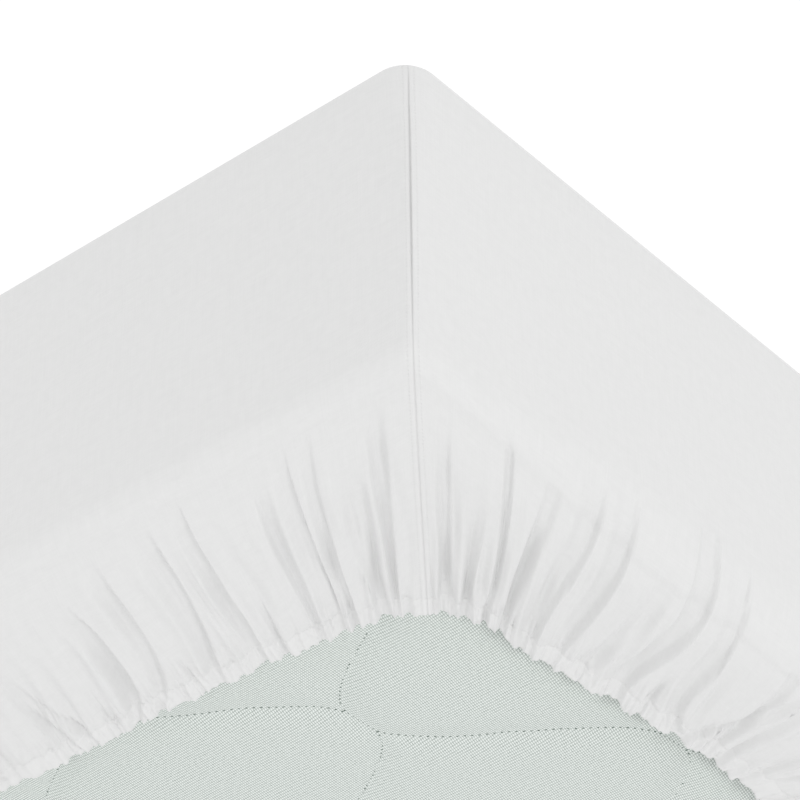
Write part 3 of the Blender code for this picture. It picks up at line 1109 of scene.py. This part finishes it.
@dataclass(frozen=True)
class Mattress:
    """The mattress inside the sheet, with its quilted ticking. Lengths are in metres.

    Attributes:
        body: The outer sizes, over the cloth.
        quilting: The ticking's quilting.
        columns: The cloth's columns, which say where the hem lies.
        near, far: The grid's pitch where the camera sees it, and elsewhere.
        inset: How far the mattress's sides lie within the cloth's.
        below: How far the ticking lies below the underside's plane, without its relief.
        floor: The height of the lower face.
        edge: How far the grid's rim lies in from the sides.
        upper_round, lower_round, corner_radius: The rounding of its edges and of the plan's corners.
        sunk: How much lower the ticking lies inside the hem.
        pressed, pressed_reach: How much lower still at the short sides' hems, and how far from them.
        lump, lump_top: The height of its unevenness, and where that is cut off.
        margin: How far the relief lies below the plane.
        touch: The share of the lowering that is missing at the long sides' hems.
        touch_from, touch_reach: How far in from X's walls that starts to fade, and over how much.
        shown, held: The stretches, in from X's and from Y's walls, over which relief and lowering grow.
        clear_of_corner: The stretch, in from Y's walls, over which the touch grows.
    """

    body: Body
    quilting: Quilting
    columns: Columns
    near: float = 0.0032
    far: float = 0.0080
    inset: float = 0.0024
    below: float = 0.0020
    floor: float = 0.0022
    edge: float = 0.040
    upper_round: float = 0.036
    lower_round: float = 0.010
    corner_radius: float = 0.026
    sunk: float = 0.0045
    pressed: float = 0.0056
    pressed_reach: float = 0.0125
    lump: float = 0.00035
    lump_top: float = 0.0003
    margin: float = 0.0002
    touch: float = 0.85
    touch_from: float = 0.160
    touch_reach: float = 0.032
    shown: tuple[tuple[float, float], ...] = ((0.10, 0.14), (0.08, 0.12))
    held: tuple[tuple[float, float], ...] = ((0.110, 0.140), (0.062, 0.092))
    clear_of_corner: tuple[float, float] = (0.14, 0.21)

    SAMPLES = 4000
    SEEN = ((0.03, 0.30), (-0.88, -0.54))
    SEEN_BLEND = 0.03
    UPPER_STEPS = 5
    LOWER_STEPS = 3

    @property
    def top(self) -> float:
        """The height of the ticking without its relief."""
        return self.body.height - self.below

    @property
    def half(self) -> tuple[float, float]:
        """Half the mattress's width and length."""
        return (self.body.width / 2 - self.inset, self.body.length / 2 - self.inset)

    def _axis(self, half: float, low: float, high: float) -> Array:
        """Places along one axis, closer together in the stretch that the camera sees."""
        line = np.linspace(-half + self.edge, half - self.edge, self.SAMPLES)
        blend = self.SEEN_BLEND
        close = smooth(low - blend, low, line) * (1 - smooth(high, high + blend, line))
        return graded(line, mix(self.far, self.near, close), False)

    def _hem_at(self, side: Side, x: Array) -> Array:
        """Where along Y a short side's hem lies, at these places along X."""
        plan = self.columns.hem_plan[self.columns.side == side.value]
        order = np.argsort(plan[:, 0])
        return np.interp(x, plan[order, 0], plan[order, 1])

    def height(self, x: Array, y: Array) -> Array:
        """The ticking's height.

        It is drawn in along the quilting and faintly uneven between. Inside the hem it lies lower, and
        comes up to the hem only along the long sides, away from the corners. Right at the short sides'
        hems it is pressed down once more, and rises softly from there.

        Args:
            x: Places along X, in metres.
            y: Places along Y, in metres.

        Returns:
            Heights in metres, in the places' shape.
        """
        corner = (self.body.length / 2, self.body.width / 2)
        away = self.quilting.nearest(y + corner[0], corner[1] - x)
        dent = self.quilting.depth * np.exp(-np.abs(away / self.quilting.spread) ** 1.3)
        lumps = self.lump * Ripples(0.050, 0.11, 21).at(x + 0.4 * y, y - 0.4 * x)
        from_long = corner[1] - np.abs(x)
        from_short = corner[0] - np.abs(y)
        shown = smooth(*self.shown[0], from_long) * smooth(*self.shown[1], from_short)
        touch = self.touch * bell(np.maximum(from_long - self.touch_from, 0), self.touch_reach)
        touch = touch * smooth(*self.clear_of_corner, from_short)
        inner = np.minimum(y - self._hem_at(Side.FRONT, x), self._hem_at(Side.BACK, x) - y)
        pressed = self.pressed * bell(np.maximum(inner, 0), self.pressed_reach)
        held = smooth(*self.held[0], from_long) * smooth(*self.held[1], from_short)
        sunk = (self.sunk + pressed) * held * (1 - touch)
        relief = np.minimum(lumps, self.lump_top) - dent - self.margin
        return self.top - self.margin - sunk + shown * relief

    def build(self, material: bpy.types.Material) -> bpy.types.Object:
        """Makes the mattress as one closed surface: a grid on top and rings round its sides."""
        axes = [self._axis(half, *seen) for half, seen in zip(self.half, self.SEEN)]
        x, y = np.meshgrid(*axes)
        grid = np.column_stack((x.ravel(), y.ravel(), self.height(x, y).ravel()))
        numbers = np.arange(x.size).reshape(x.shape)
        corners = (numbers[:-1, :-1], numbers[:-1, 1:], numbers[1:, 1:], numbers[1:, :-1])
        walk = (numbers[0, :-1], numbers[:-1, -1], numbers[-1, :0:-1], numbers[:0:-1, 0])
        loop = np.concatenate(walk)[::-1]
        mesh = RingMesh()
        mesh.begin(grid, np.column_stack([corner.ravel() for corner in corners]), loop)
        for out, height in self._profile():
            mesh.ring(np.column_stack((self._ring(grid[loop, :2], out), np.full(len(loop), height))), {})
        mesh.close(np.array([[0.0, 0.0, self.floor]]), {}, False)
        return mesh.build("quilted_mattress", material)

    def _profile(self) -> list[tuple[float, float]]:
        """The side's section, two quarter circles: how far out of the grid's rim, and how high."""
        rows = []
        for step in range(1, self.UPPER_STEPS + 1):
            angle = QUARTER * step / self.UPPER_STEPS
            out = self.edge - self.upper_round * (1 - math.sin(angle))
            rows.append((out, self.top - self.upper_round * (1 - math.cos(angle))))
        for step in range(self.LOWER_STEPS + 1):
            angle = QUARTER * step / self.LOWER_STEPS
            out = self.edge - self.lower_round * (1 - math.cos(angle))
            rows.append((out, self.floor + self.lower_round * (1 - math.sin(angle))))
        return rows

    def _ring(self, rim: Array, out: float) -> Array:
        """The rim pushed out by a distance, its corners rounded."""
        radius = self.corner_radius
        inner = np.array(self.half) - self.edge
        outer = inner + out
        moved = rim * outer / inner
        over = np.maximum(np.abs(moved) - (outer - radius), 0)
        length = np.linalg.norm(over, axis=1)
        scale = np.where(length > radius, radius / np.maximum(length, 1e-9), 1)[:, None]
        both = (over[:, :1] > 0) & (over[:, 1:] > 0)
        pulled = np.sign(moved) * (outer - radius + over * scale)
        return np.where(both, pulled, moved)


@dataclass(frozen=True)
class NeedleHoleShadeCaps:
    """Dark caps just over the ticking where the quilting's needle holes lie, painted shade for the holes, in
    metres.

    Attributes:
        mattress: The mattress that they lie on.
        pitch: The distance between two holes along a line.
        size, shape: A hole's size, and the shares of it along the line and across.
        rim_lift, top_lift: How far its rim and its middle lie over the ticking.
        clear: How far from X's and from Y's walls the holes start.
    """

    mattress: Mattress
    pitch: float = 0.0044
    size: float = 0.00075
    shape: tuple[float, float] = (1.15, 0.8)
    rim_lift: float = 0.00015
    top_lift: float = 0.0003
    clear: tuple[float, float] = (0.150, 0.118)

    SIDES = 6
    SAMPLES = 3000

    def _path(self, number: int, way: int) -> Array:
        """Points a pitch apart along one line, where the hem leaves the ticking open."""
        quilting = self.mattress.quilting
        body = self.mattress.body
        back = np.linspace(self.clear[0], body.width - self.clear[0], self.SAMPLES)
        place, _ = quilting.line(back, number, way)
        length = np.concatenate(([0.0], np.cumsum(np.hypot(np.diff(back), np.diff(place)))))
        back = np.interp(np.arange(0, length[-1], self.pitch), length, back)
        place, slope = quilting.line(back, number, way)
        shown = (place > self.clear[1]) & (place < body.length - self.clear[1])
        return np.column_stack((body.width / 2 - back, place - body.length / 2, -slope))[shown]

    def build(self, material: bpy.types.Material) -> bpy.types.Object:
        """Makes all caps of painted shade: an oval rim each, turned along its line, and a middle point."""
        rows = [self._path(*line) for line in self.mattress.quilting.LINES]
        path = np.concatenate([row for row in rows if len(row)])
        turn = np.linspace(0, FULL, self.SIDES, endpoint=False)
        direction = np.column_stack((np.ones(len(path)), path[:, 2]))
        direction /= np.linalg.norm(direction, axis=1)[:, None]
        side = np.column_stack((-direction[:, 1], direction[:, 0]))
        long, wide = self.shape
        ring = self.size * (
            long * np.cos(turn)[None, :, None] * direction[:, None, :]
            + wide * np.sin(turn)[None, :, None] * side[:, None, :]
        )
        plan = path[:, None, :2] + ring
        height = self.mattress.height(plan[..., 0], plan[..., 1]) + self.rim_lift
        rim = np.concatenate((plan, height[..., None]), axis=2)
        level = self.mattress.height(path[:, 0], path[:, 1]) + self.top_lift
        top = np.concatenate((path[:, :2], level[:, None]), axis=1)
        points = np.concatenate((rim, top[:, None, :]), axis=1).reshape(-1, 3)
        start = (np.arange(len(path)) * (self.SIDES + 1))[:, None]
        one = np.arange(self.SIDES)[None, :]
        faces = np.stack((start + one, start + (one + 1) % self.SIDES, start + self.SIDES + 0 * one), 2)
        mesh = RingMesh()
        mesh.begin(points, faces.reshape(-1, 3), one[0])
        return mesh.build("needle_hole_shade_caps", material)


# Materials


def arithmetic(operation: str, swapped: bool = False) -> Callable[["Signal", "Signal | float"], "Signal"]:
    """Makes a method that joins a signal and another value by one Math node.

    Args:
        operation: The node's operation.
        swapped: Whether the other value comes first, as in an operator's reflected form.

    Returns:
        The method.
    """

    def method(self: "Signal", other: "Signal | float") -> "Signal":
        """One step of arithmetic with another value."""
        return self.shader.math(operation, *((other, self) if swapped else (self, other)))

    return method


class Signal:
    """A shader value that can be worked with like a number."""

    def __init__(self, shader: "Shader", socket: bpy.types.NodeSocket) -> None:
        """Wraps an output socket of a shader."""
        self.shader = shader
        self.socket = socket

    __add__ = arithmetic("ADD")
    __radd__ = arithmetic("ADD", True)
    __sub__ = arithmetic("SUBTRACT")
    __rsub__ = arithmetic("SUBTRACT", True)
    __mul__ = arithmetic("MULTIPLY")
    __rmul__ = arithmetic("MULTIPLY", True)
    __truediv__ = arithmetic("DIVIDE")
    largest = arithmetic("MAXIMUM")

    def __abs__(self) -> "Signal":
        """The value without its sign."""
        return self.shader.math("ABSOLUTE", self)

    def sine(self, wavelength: float) -> "Signal":
        """The sine of this value, with the wavelength given."""
        return self.shader.math("SINE", self * (FULL / wavelength))

    def bell(self, centre: float, width: float) -> "Signal":
        """1 at the centre, falling to 0 on both sides within the width, as 1 - x^2."""
        off = (self - centre) / width
        return (1.0 - off * off).largest(0.0)

    def step(self, low: float, high: float) -> "Signal":
        """0 below low and 1 above high, soft between."""
        settings = {"interpolation_type": "SMOOTHSTEP"}
        made = self.shader.node("ShaderNodeMapRange", settings, {0: self, 1: low, 2: high})
        return Signal(self.shader, made.outputs[0])


class Shader:
    """A material's nodes, made from expressions."""

    def __init__(self, name: str) -> None:
        """Starts a material with a plain surface."""
        self.material = bpy.data.materials.new(name)
        self.material.use_nodes = True
        self.tree = self.material.node_tree
        self.surface = self.tree.nodes["Principled BSDF"]

    def node(self, kind: str, settings: dict | None = None, inputs: dict | None = None) -> bpy.types.Node:
        """Makes a node.

        Args:
            kind: Its type's name.
            settings: Its properties by name.
            inputs: Its inputs by name or number: values, sockets or signals.

        Returns:
            The node.
        """
        made = self.tree.nodes.new(kind)
        for name, value in (settings or {}).items():
            setattr(made, name, value)
        for name, value in (inputs or {}).items():
            self.plug(made.inputs[name], value)
        return made

    def plug(self, socket: bpy.types.NodeSocket, value: object) -> None:
        """Gives a socket a value, or links it to a signal or a socket."""
        source = value.socket if isinstance(value, Signal) else value
        if isinstance(source, bpy.types.NodeSocket):
            self.tree.links.new(source, socket)
        else:
            socket.default_value = value

    def math(self, operation: str, *values: Signal | float) -> Signal:
        """One step of arithmetic."""
        made = self.node("ShaderNodeMath", {"operation": operation}, dict(enumerate(values)))
        return Signal(self, made.outputs[0])

    def parts(self, vector: bpy.types.NodeSocket) -> list[Signal]:
        """The three parts of a vector."""
        split = self.node("ShaderNodeSeparateXYZ", None, {0: vector})
        return [Signal(self, socket) for socket in split.outputs]

    def attribute(self, name: str) -> list[Signal]:
        """The three parts of a point attribute."""
        return self.parts(self.node("ShaderNodeAttribute", {"attribute_name": name}).outputs["Vector"])

    def place(self) -> list[Signal]:
        """The three parts of the object's own coordinates."""
        return self.parts(self.node("ShaderNodeTexCoord").outputs["Object"])

    def noise(self, x: Signal | float, y: Signal | float, detail: float = 2.0) -> Signal:
        """Soft noise, about 0.5 in the middle, whose lumps are about one unit of x and y."""
        joined = self.node("ShaderNodeCombineXYZ", None, {0: x, 1: y}).outputs[0]
        inputs = {"Vector": joined, "Scale": 1.0, "Detail": detail}
        return Signal(self, self.node("ShaderNodeTexNoise", {"noise_dimensions": "2D"}, inputs).outputs[0])

    def blend(self, low: object, high: Colour, share: Signal, kind: str = "MIX") -> bpy.types.NodeSocket:
        """A colour between two.

        Args:
            low: The colour at share 0, fixed or a socket.
            high: The colour at share 1.
            share: The share of the second.
            kind: How the second one lies on the first.

        Returns:
            The blended colour's socket.
        """
        first = low if isinstance(low, bpy.types.NodeSocket) else (*low, 1.0)
        settings = {"data_type": "RGBA", "blend_type": kind}
        return self.node("ShaderNodeMix", settings, {0: share, 6: first, 7: (*high, 1.0)}).outputs[2]

    def bump(self, height: Signal, distance: float, strength: float = 1.0) -> bpy.types.NodeSocket:
        """A bumped normal from a height in shares of the distance."""
        inputs = {"Height": height, "Distance": distance, "Strength": strength}
        return self.node("ShaderNodeBump", None, inputs).outputs[0]

    def finish(self, inputs: dict[str, object]) -> bpy.types.Material:
        """Plugs the surface's inputs, by name, and gives the material."""
        for name, value in inputs.items():
            self.plug(self.surface.inputs[name], value)
        return self.material


@dataclass(frozen=True)
class Cotton:
    """Fine white plain-woven cotton with its sewing.

    Attributes:
        hem: The hem's sizes.
        dark, light: The colours of its hollows and of its threads, linear.
        doubled_and_painted_light: The lighter colour of the hem's band, linear, partly that of two layers of
        cloth and partly painted light against the shade at the hem.
        painted_highlight: The lighter colour painted along the folds' steep brims, a painted highlight,
            linear.
        sewn: What its colour is multiplied by in a seam, in all.
        thread: The distance between two threads, in metres.
        slub: The width and the length of a slub, in metres.
        mottle: The size of its mottling, in metres.
        seam_stitch, hem_stitch: The length of a stitch of the corner seam and of the hem, in metres.
        top_stitch_at: How far from the seam its two stitch rows lie, in metres.
        hem_soft: How far to each side of the hem's stitches the band's lighter colour fades, in metres.
        seam_width, row_width, hem_row_width: Half the width of the seam and of its and the hem's
            stitch rows, in metres.
        doubled_and_painted_light_share: How much of the hem band's lighter colour shows.
        seam_shade, stitch_shade: How much the seam and the stitches darken.
        relief: How high the slubs and the weave stand and how deep the stitches lie, in shares of
            the bump's distance.
        bump: The bump's distance, in metres, and its strength.
        roughness, specular, sheen, sheen_roughness: The surface's.
    """

    hem: Hem
    dark: Colour = (0.716, 0.717, 0.716)
    light: Colour = (0.778, 0.779, 0.777)
    doubled_and_painted_light: Colour = (0.790, 0.791, 0.789)
    painted_highlight: Colour = (0.805, 0.806, 0.804)
    sewn: Colour = (0.55, 0.55, 0.55)
    thread: float = 0.00042
    slub: tuple[float, float] = (0.0011, 0.030)
    mottle: float = 0.006
    seam_stitch: float = 0.0025
    hem_stitch: float = 0.0026
    top_stitch_at: float = 0.0030
    hem_soft: float = 0.0012
    seam_width: float = 0.0007
    row_width: float = 0.0004
    hem_row_width: float = 0.0005
    doubled_and_painted_light_share: float = 0.45
    seam_shade: float = 0.12
    stitch_shade: float = 0.05
    relief: tuple[float, float, float] = (0.55, 0.10, 0.9)
    bump: tuple[float, float] = (0.00022, 0.8)
    roughness: float = 0.88
    specular: float = 0.2
    sheen: float = 0.12
    sheen_roughness: float = 0.5

    def make(self) -> bpy.types.Material:
        """Builds the material.

        Returns:
            A material whose colour varies faintly with the slubs of the threads, is lighter at the hem,
            partly for the two layers of cloth and partly as painted light, has a painted highlight along
            the folds' steep brims and is darker in the seam, and whose bump adds the weave, the slubs and
            the stitches.
        """
        shader = Shader("white_cotton_cloth")
        across, along, _ = shader.attribute("cloth")
        seam, to_hem, painted_highlight = shader.attribute("sewing")
        wide, long = self.slub
        slubs = (shader.noise(across / wide, along / long) + shader.noise(across / long, along / wide)) * 0.5
        mottle = shader.noise(across / self.mottle, along / self.mottle, 3.0)
        over = across.sine(2 * self.thread) * along.sine(2 * self.thread)
        top_row = abs(seam).bell(self.top_stitch_at, self.row_width)
        hem_row = to_hem.bell(self.hem.band, self.hem_row_width)
        stitches = top_row * (0.5 + 0.5 * along.sine(self.seam_stitch))
        stitches = stitches + hem_row * (0.5 + 0.5 * across.sine(self.hem_stitch))
        in_band = 1.0 - to_hem.step(self.hem.band - self.hem_soft, self.hem.band + self.hem_soft)
        fade = (slubs * 1.6 - 0.3) * 0.5 + mottle * 0.5
        tone = shader.blend(self.dark, self.light, fade.largest(0.0))
        # Painted highlight: lighter colour along the folds' steep brims.
        tone = shader.blend(tone, self.painted_highlight, painted_highlight.step(0.0, 1.0))
        # Lighter hem band: partly two layers of cloth, partly painted light against the shade at the hem.
        tone = shader.blend(tone, self.doubled_and_painted_light, in_band * self.doubled_and_painted_light_share)
        sewing = seam.bell(0.0, self.seam_width) * self.seam_shade + stitches * self.stitch_shade
        slub_height, weave_height, stitch_depth = self.relief
        height = slubs * slub_height + over * weave_height - stitches * stitch_depth
        return shader.finish({
            "Base Color": shader.blend(tone, self.sewn, sewing, "MULTIPLY"),
            "Normal": shader.bump(height, *self.bump),
            "Roughness": self.roughness,
            "Specular IOR Level": self.specular,
            "Sheen Weight": self.sheen,
            "Sheen Roughness": self.sheen_roughness,
        })


@dataclass(frozen=True)
class Ticking:
    """The mattress's pale open-knit cover.

    Attributes:
        hole, thread: The colours between the threads and of the threads, linear.
        row_pitch: The distance between two of the knit's rows, which run along the mattress, in metres.
        file_pitch: The distance between two of its files, in metres.
        row_turn, file_turn: How far they are turned from the mattress's length and width, in radians.
        open: How far the gaps show, of which uneven gives the least share and what is added by place.
        gap: How wide the gaps between the rows and between the files are, in shares.
        bend: How far the threads bend, and over what distance, in metres.
        patch: The size of the uneven places, in metres.
        bump: The bump's distance, in metres, and its strength.
        roughness, specular: The surface's.
    """

    hole: Colour = (0.19, 0.235, 0.21)
    thread: Colour = (0.800, 0.842, 0.813)
    row_pitch: float = 0.00238
    file_pitch: float = 0.00149
    row_turn: float = 0.051
    file_turn: float = 0.256
    open: float = 0.68
    uneven: tuple[float, float] = (0.6, 0.8)
    gap: tuple[float, float] = (0.62, 0.80)
    bend: tuple[float, float] = (0.0005, 0.03)
    patch: float = 0.0022
    bump: tuple[float, float] = (0.0003, 0.6)
    roughness: float = 0.92
    specular: float = 0.15

    def make(self) -> bpy.types.Material:
        """Builds the material: dark gaps between the rows and between the files, uneven by place."""
        shader = Shader("pale_ticking_cloth")
        x, y, _ = shader.place()
        far, wide = self.bend
        bend = far * (shader.noise(x / wide, y / wide) - 0.5)
        u = x * math.cos(self.row_turn) + y * math.sin(self.row_turn) + bend
        v = x * math.sin(self.file_turn) + y * math.cos(self.file_turn) - bend
        between_rows = 1.0 - abs(u.sine(2 * self.row_pitch)).step(0.0, self.gap[0])
        between_files = 1.0 - abs(v.sine(2 * self.file_pitch)).step(0.0, self.gap[1])
        least, more = self.uneven
        uneven = least + more * shader.noise(x / self.patch, y / self.patch, 1.0)
        gaps = (between_rows * self.open).largest(between_files * self.open)
        share = 1.0 - gaps * uneven
        return shader.finish({
            "Base Color": shader.blend(self.hole, self.thread, share),
            "Normal": shader.bump(share, *self.bump),
            "Roughness": self.roughness,
            "Specular IOR Level": self.specular,
        })


@dataclass(frozen=True)
class NeedleHoleShadePaint:
    """The dark colour of the caps over the quilting's needle holes: painted shade for the holes."""

    dark: Colour = (0.085, 0.12, 0.10)
    light: Colour = (0.20, 0.25, 0.22)
    patch: float = 0.004
    roughness: float = 0.95

    def make(self) -> bpy.types.Material:
        """Builds the material of the painted shade, a little uneven from hole to hole."""
        shader = Shader("quilting_needle_hole_shade")
        x, y, _ = shader.place()
        tone = shader.blend(self.dark, self.light, shader.noise(x / self.patch, y / self.patch, 1.0))
        return shader.finish({"Base Color": tone, "Roughness": self.roughness})


# Studio


@dataclass(frozen=True)
class Viewpoint:
    """The photo's viewpoint.

    Attributes:
        azimuth, elevation: Degrees round from the -Y side toward +X, and over the horizon.
        roll: Degrees that the picture is turned; the photo shows the mattress the other way up.
        distance: Metres from the aim to the lens.
        lens, sensor: The focal length and the sensor's width, in millimetres.
        clip: The nearest and the farthest distance that is drawn, in metres.
        aim: The aim, from the corner at +X -Y: toward -X, toward +Y.
    """

    azimuth: float = 50.24
    elevation: float = 36.79
    roll: float = 179.4
    distance: float = 1.498
    lens: float = 135.0
    sensor: float = 36.0
    clip: tuple[float, float] = (0.05, 200.0)
    aim: tuple[float, float] = (0.0253, 0.0299)

    def make(self, body: Body) -> None:
        """Makes the camera and makes it the scene's."""
        data = bpy.data.cameras.new("camera")
        data.sensor_width = self.sensor
        data.lens = self.lens
        data.clip_start, data.clip_end = self.clip
        turn = math.radians(self.azimuth)
        rise = math.radians(self.elevation)
        back = Vector((math.sin(turn) * math.cos(rise), -math.cos(turn) * math.cos(rise), math.sin(rise)))
        target = Vector((body.width / 2 - self.aim[0], self.aim[1] - body.length / 2, body.height))
        upright = (-back).to_track_quat("-Z", "Y").to_matrix().to_4x4()
        rolled = upright @ Matrix.Rotation(math.radians(self.roll), 4, "Z")
        camera = put("camera", data)
        camera.matrix_world = Matrix.Translation(target + self.distance * back) @ rolled
        bpy.context.scene.camera = camera


class SoftLight(NamedTuple):
    """A square soft light that faces the middle of the sheet."""

    name: str
    watts: float
    size: float
    place: tuple[float, float, float]


@dataclass(frozen=True)
class Studio:
    """A white floor that fades into white air, and two large soft lights.

    Attributes:
        floor_half, floor_drop: Half the floor's size, and how far it lies below the sleeping face.
        floor_colour: Its colour, nearly black, so that it shows no shadow.
        floor_glow, air: The strengths of its white glow and of the white air's light.
        lights: The lights.
    """

    floor_half: float = 90.0
    floor_drop: float = 0.0005
    floor_colour: Colour = (0.02, 0.02, 0.02)
    floor_glow: float = 1.02
    air: float = 0.898
    lights: tuple[SoftLight, ...] = (
        SoftLight("key", 23.0, 1.0, (0.30, -4.30, 2.90)),
        SoftLight("fill", 15.0, 1.2, (2.10, -0.90, 3.80)),
    )

    WHITE = (1.0, 1.0, 1.0, 1.0)

    def make(self) -> None:
        """Makes the floor, the air and the lights."""
        self._floor()
        self._air()
        for light in self.lights:
            self._light(light)
        bpy.context.scene.view_settings.view_transform = "Standard"

    def _floor(self) -> None:
        """Makes the glowing floor."""
        mesh = bpy.data.meshes.new("floor")
        reach = self.floor_half
        points = [(-reach, -reach, 0), (reach, -reach, 0), (reach, reach, 0), (-reach, reach, 0)]
        mesh.from_pydata(points, [], [(0, 1, 2, 3)])
        mesh.update()
        mesh.materials.append(Shader("pale_floor").finish({
            "Base Color": (*self.floor_colour, 1.0),
            "Roughness": 1.0,
            "Specular IOR Level": 0.0,
            "Emission Color": self.WHITE,
            "Emission Strength": self.floor_glow,
        }))
        floor = put("floor", mesh)
        floor.location.z = -self.floor_drop

    def _air(self) -> None:
        """Makes the white air about everything."""
        world = bpy.data.worlds.new("air")
        world.use_nodes = True
        background = world.node_tree.nodes["Background"]
        background.inputs["Color"].default_value = self.WHITE
        background.inputs["Strength"].default_value = self.air
        bpy.context.scene.world = world

    @staticmethod
    def _light(soft: SoftLight) -> None:
        """Makes one light, turned toward the origin."""
        data = bpy.data.lights.new(soft.name, "AREA")
        data.energy = soft.watts
        data.size = soft.size
        light = put(soft.name, data)
        light.location = Vector(soft.place)
        light.rotation_euler = (-light.location).to_track_quat("-Z", "Y").to_euler()


# All together


def report(piece: bpy.types.Object) -> None:
    """Logs a finished piece's size."""
    triangles = sum(len(face.vertices) - 2 for face in piece.data.polygons)
    LOG.info("%s: %d triangles", piece.name, triangles)


def main() -> None:
    """Builds the studio, then the mattress, the painted-shade caps over its needle holes, and the sheet."""
    logging.basicConfig(level=logging.INFO, format="%(message)s")
    body = Body()
    hem = Hem()
    Viewpoint().make(body)
    Studio().make()

    sheet_maker = FittedSheet(body, hem, Gather(), Seam(), Grain())
    mattress_maker = Mattress(body, Quilting(), sheet_maker.columns)
    mattress = mattress_maker.build(Ticking().make())
    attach(mattress, BODY)
    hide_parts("mattress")
    report(mattress)

    # Dark caps painted as the shade inside the quilting's needle holes.
    stitches = NeedleHoleShadeCaps(mattress_maker).build(NeedleHoleShadePaint().make())
    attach(stitches, BODY)
    report(stitches)

    sheet = sheet_maker.build(Cotton(hem).make())
    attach(sheet, BODY)
    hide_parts("fitted_sheet")
    report(sheet)


if __name__ == "__main__":
    main()
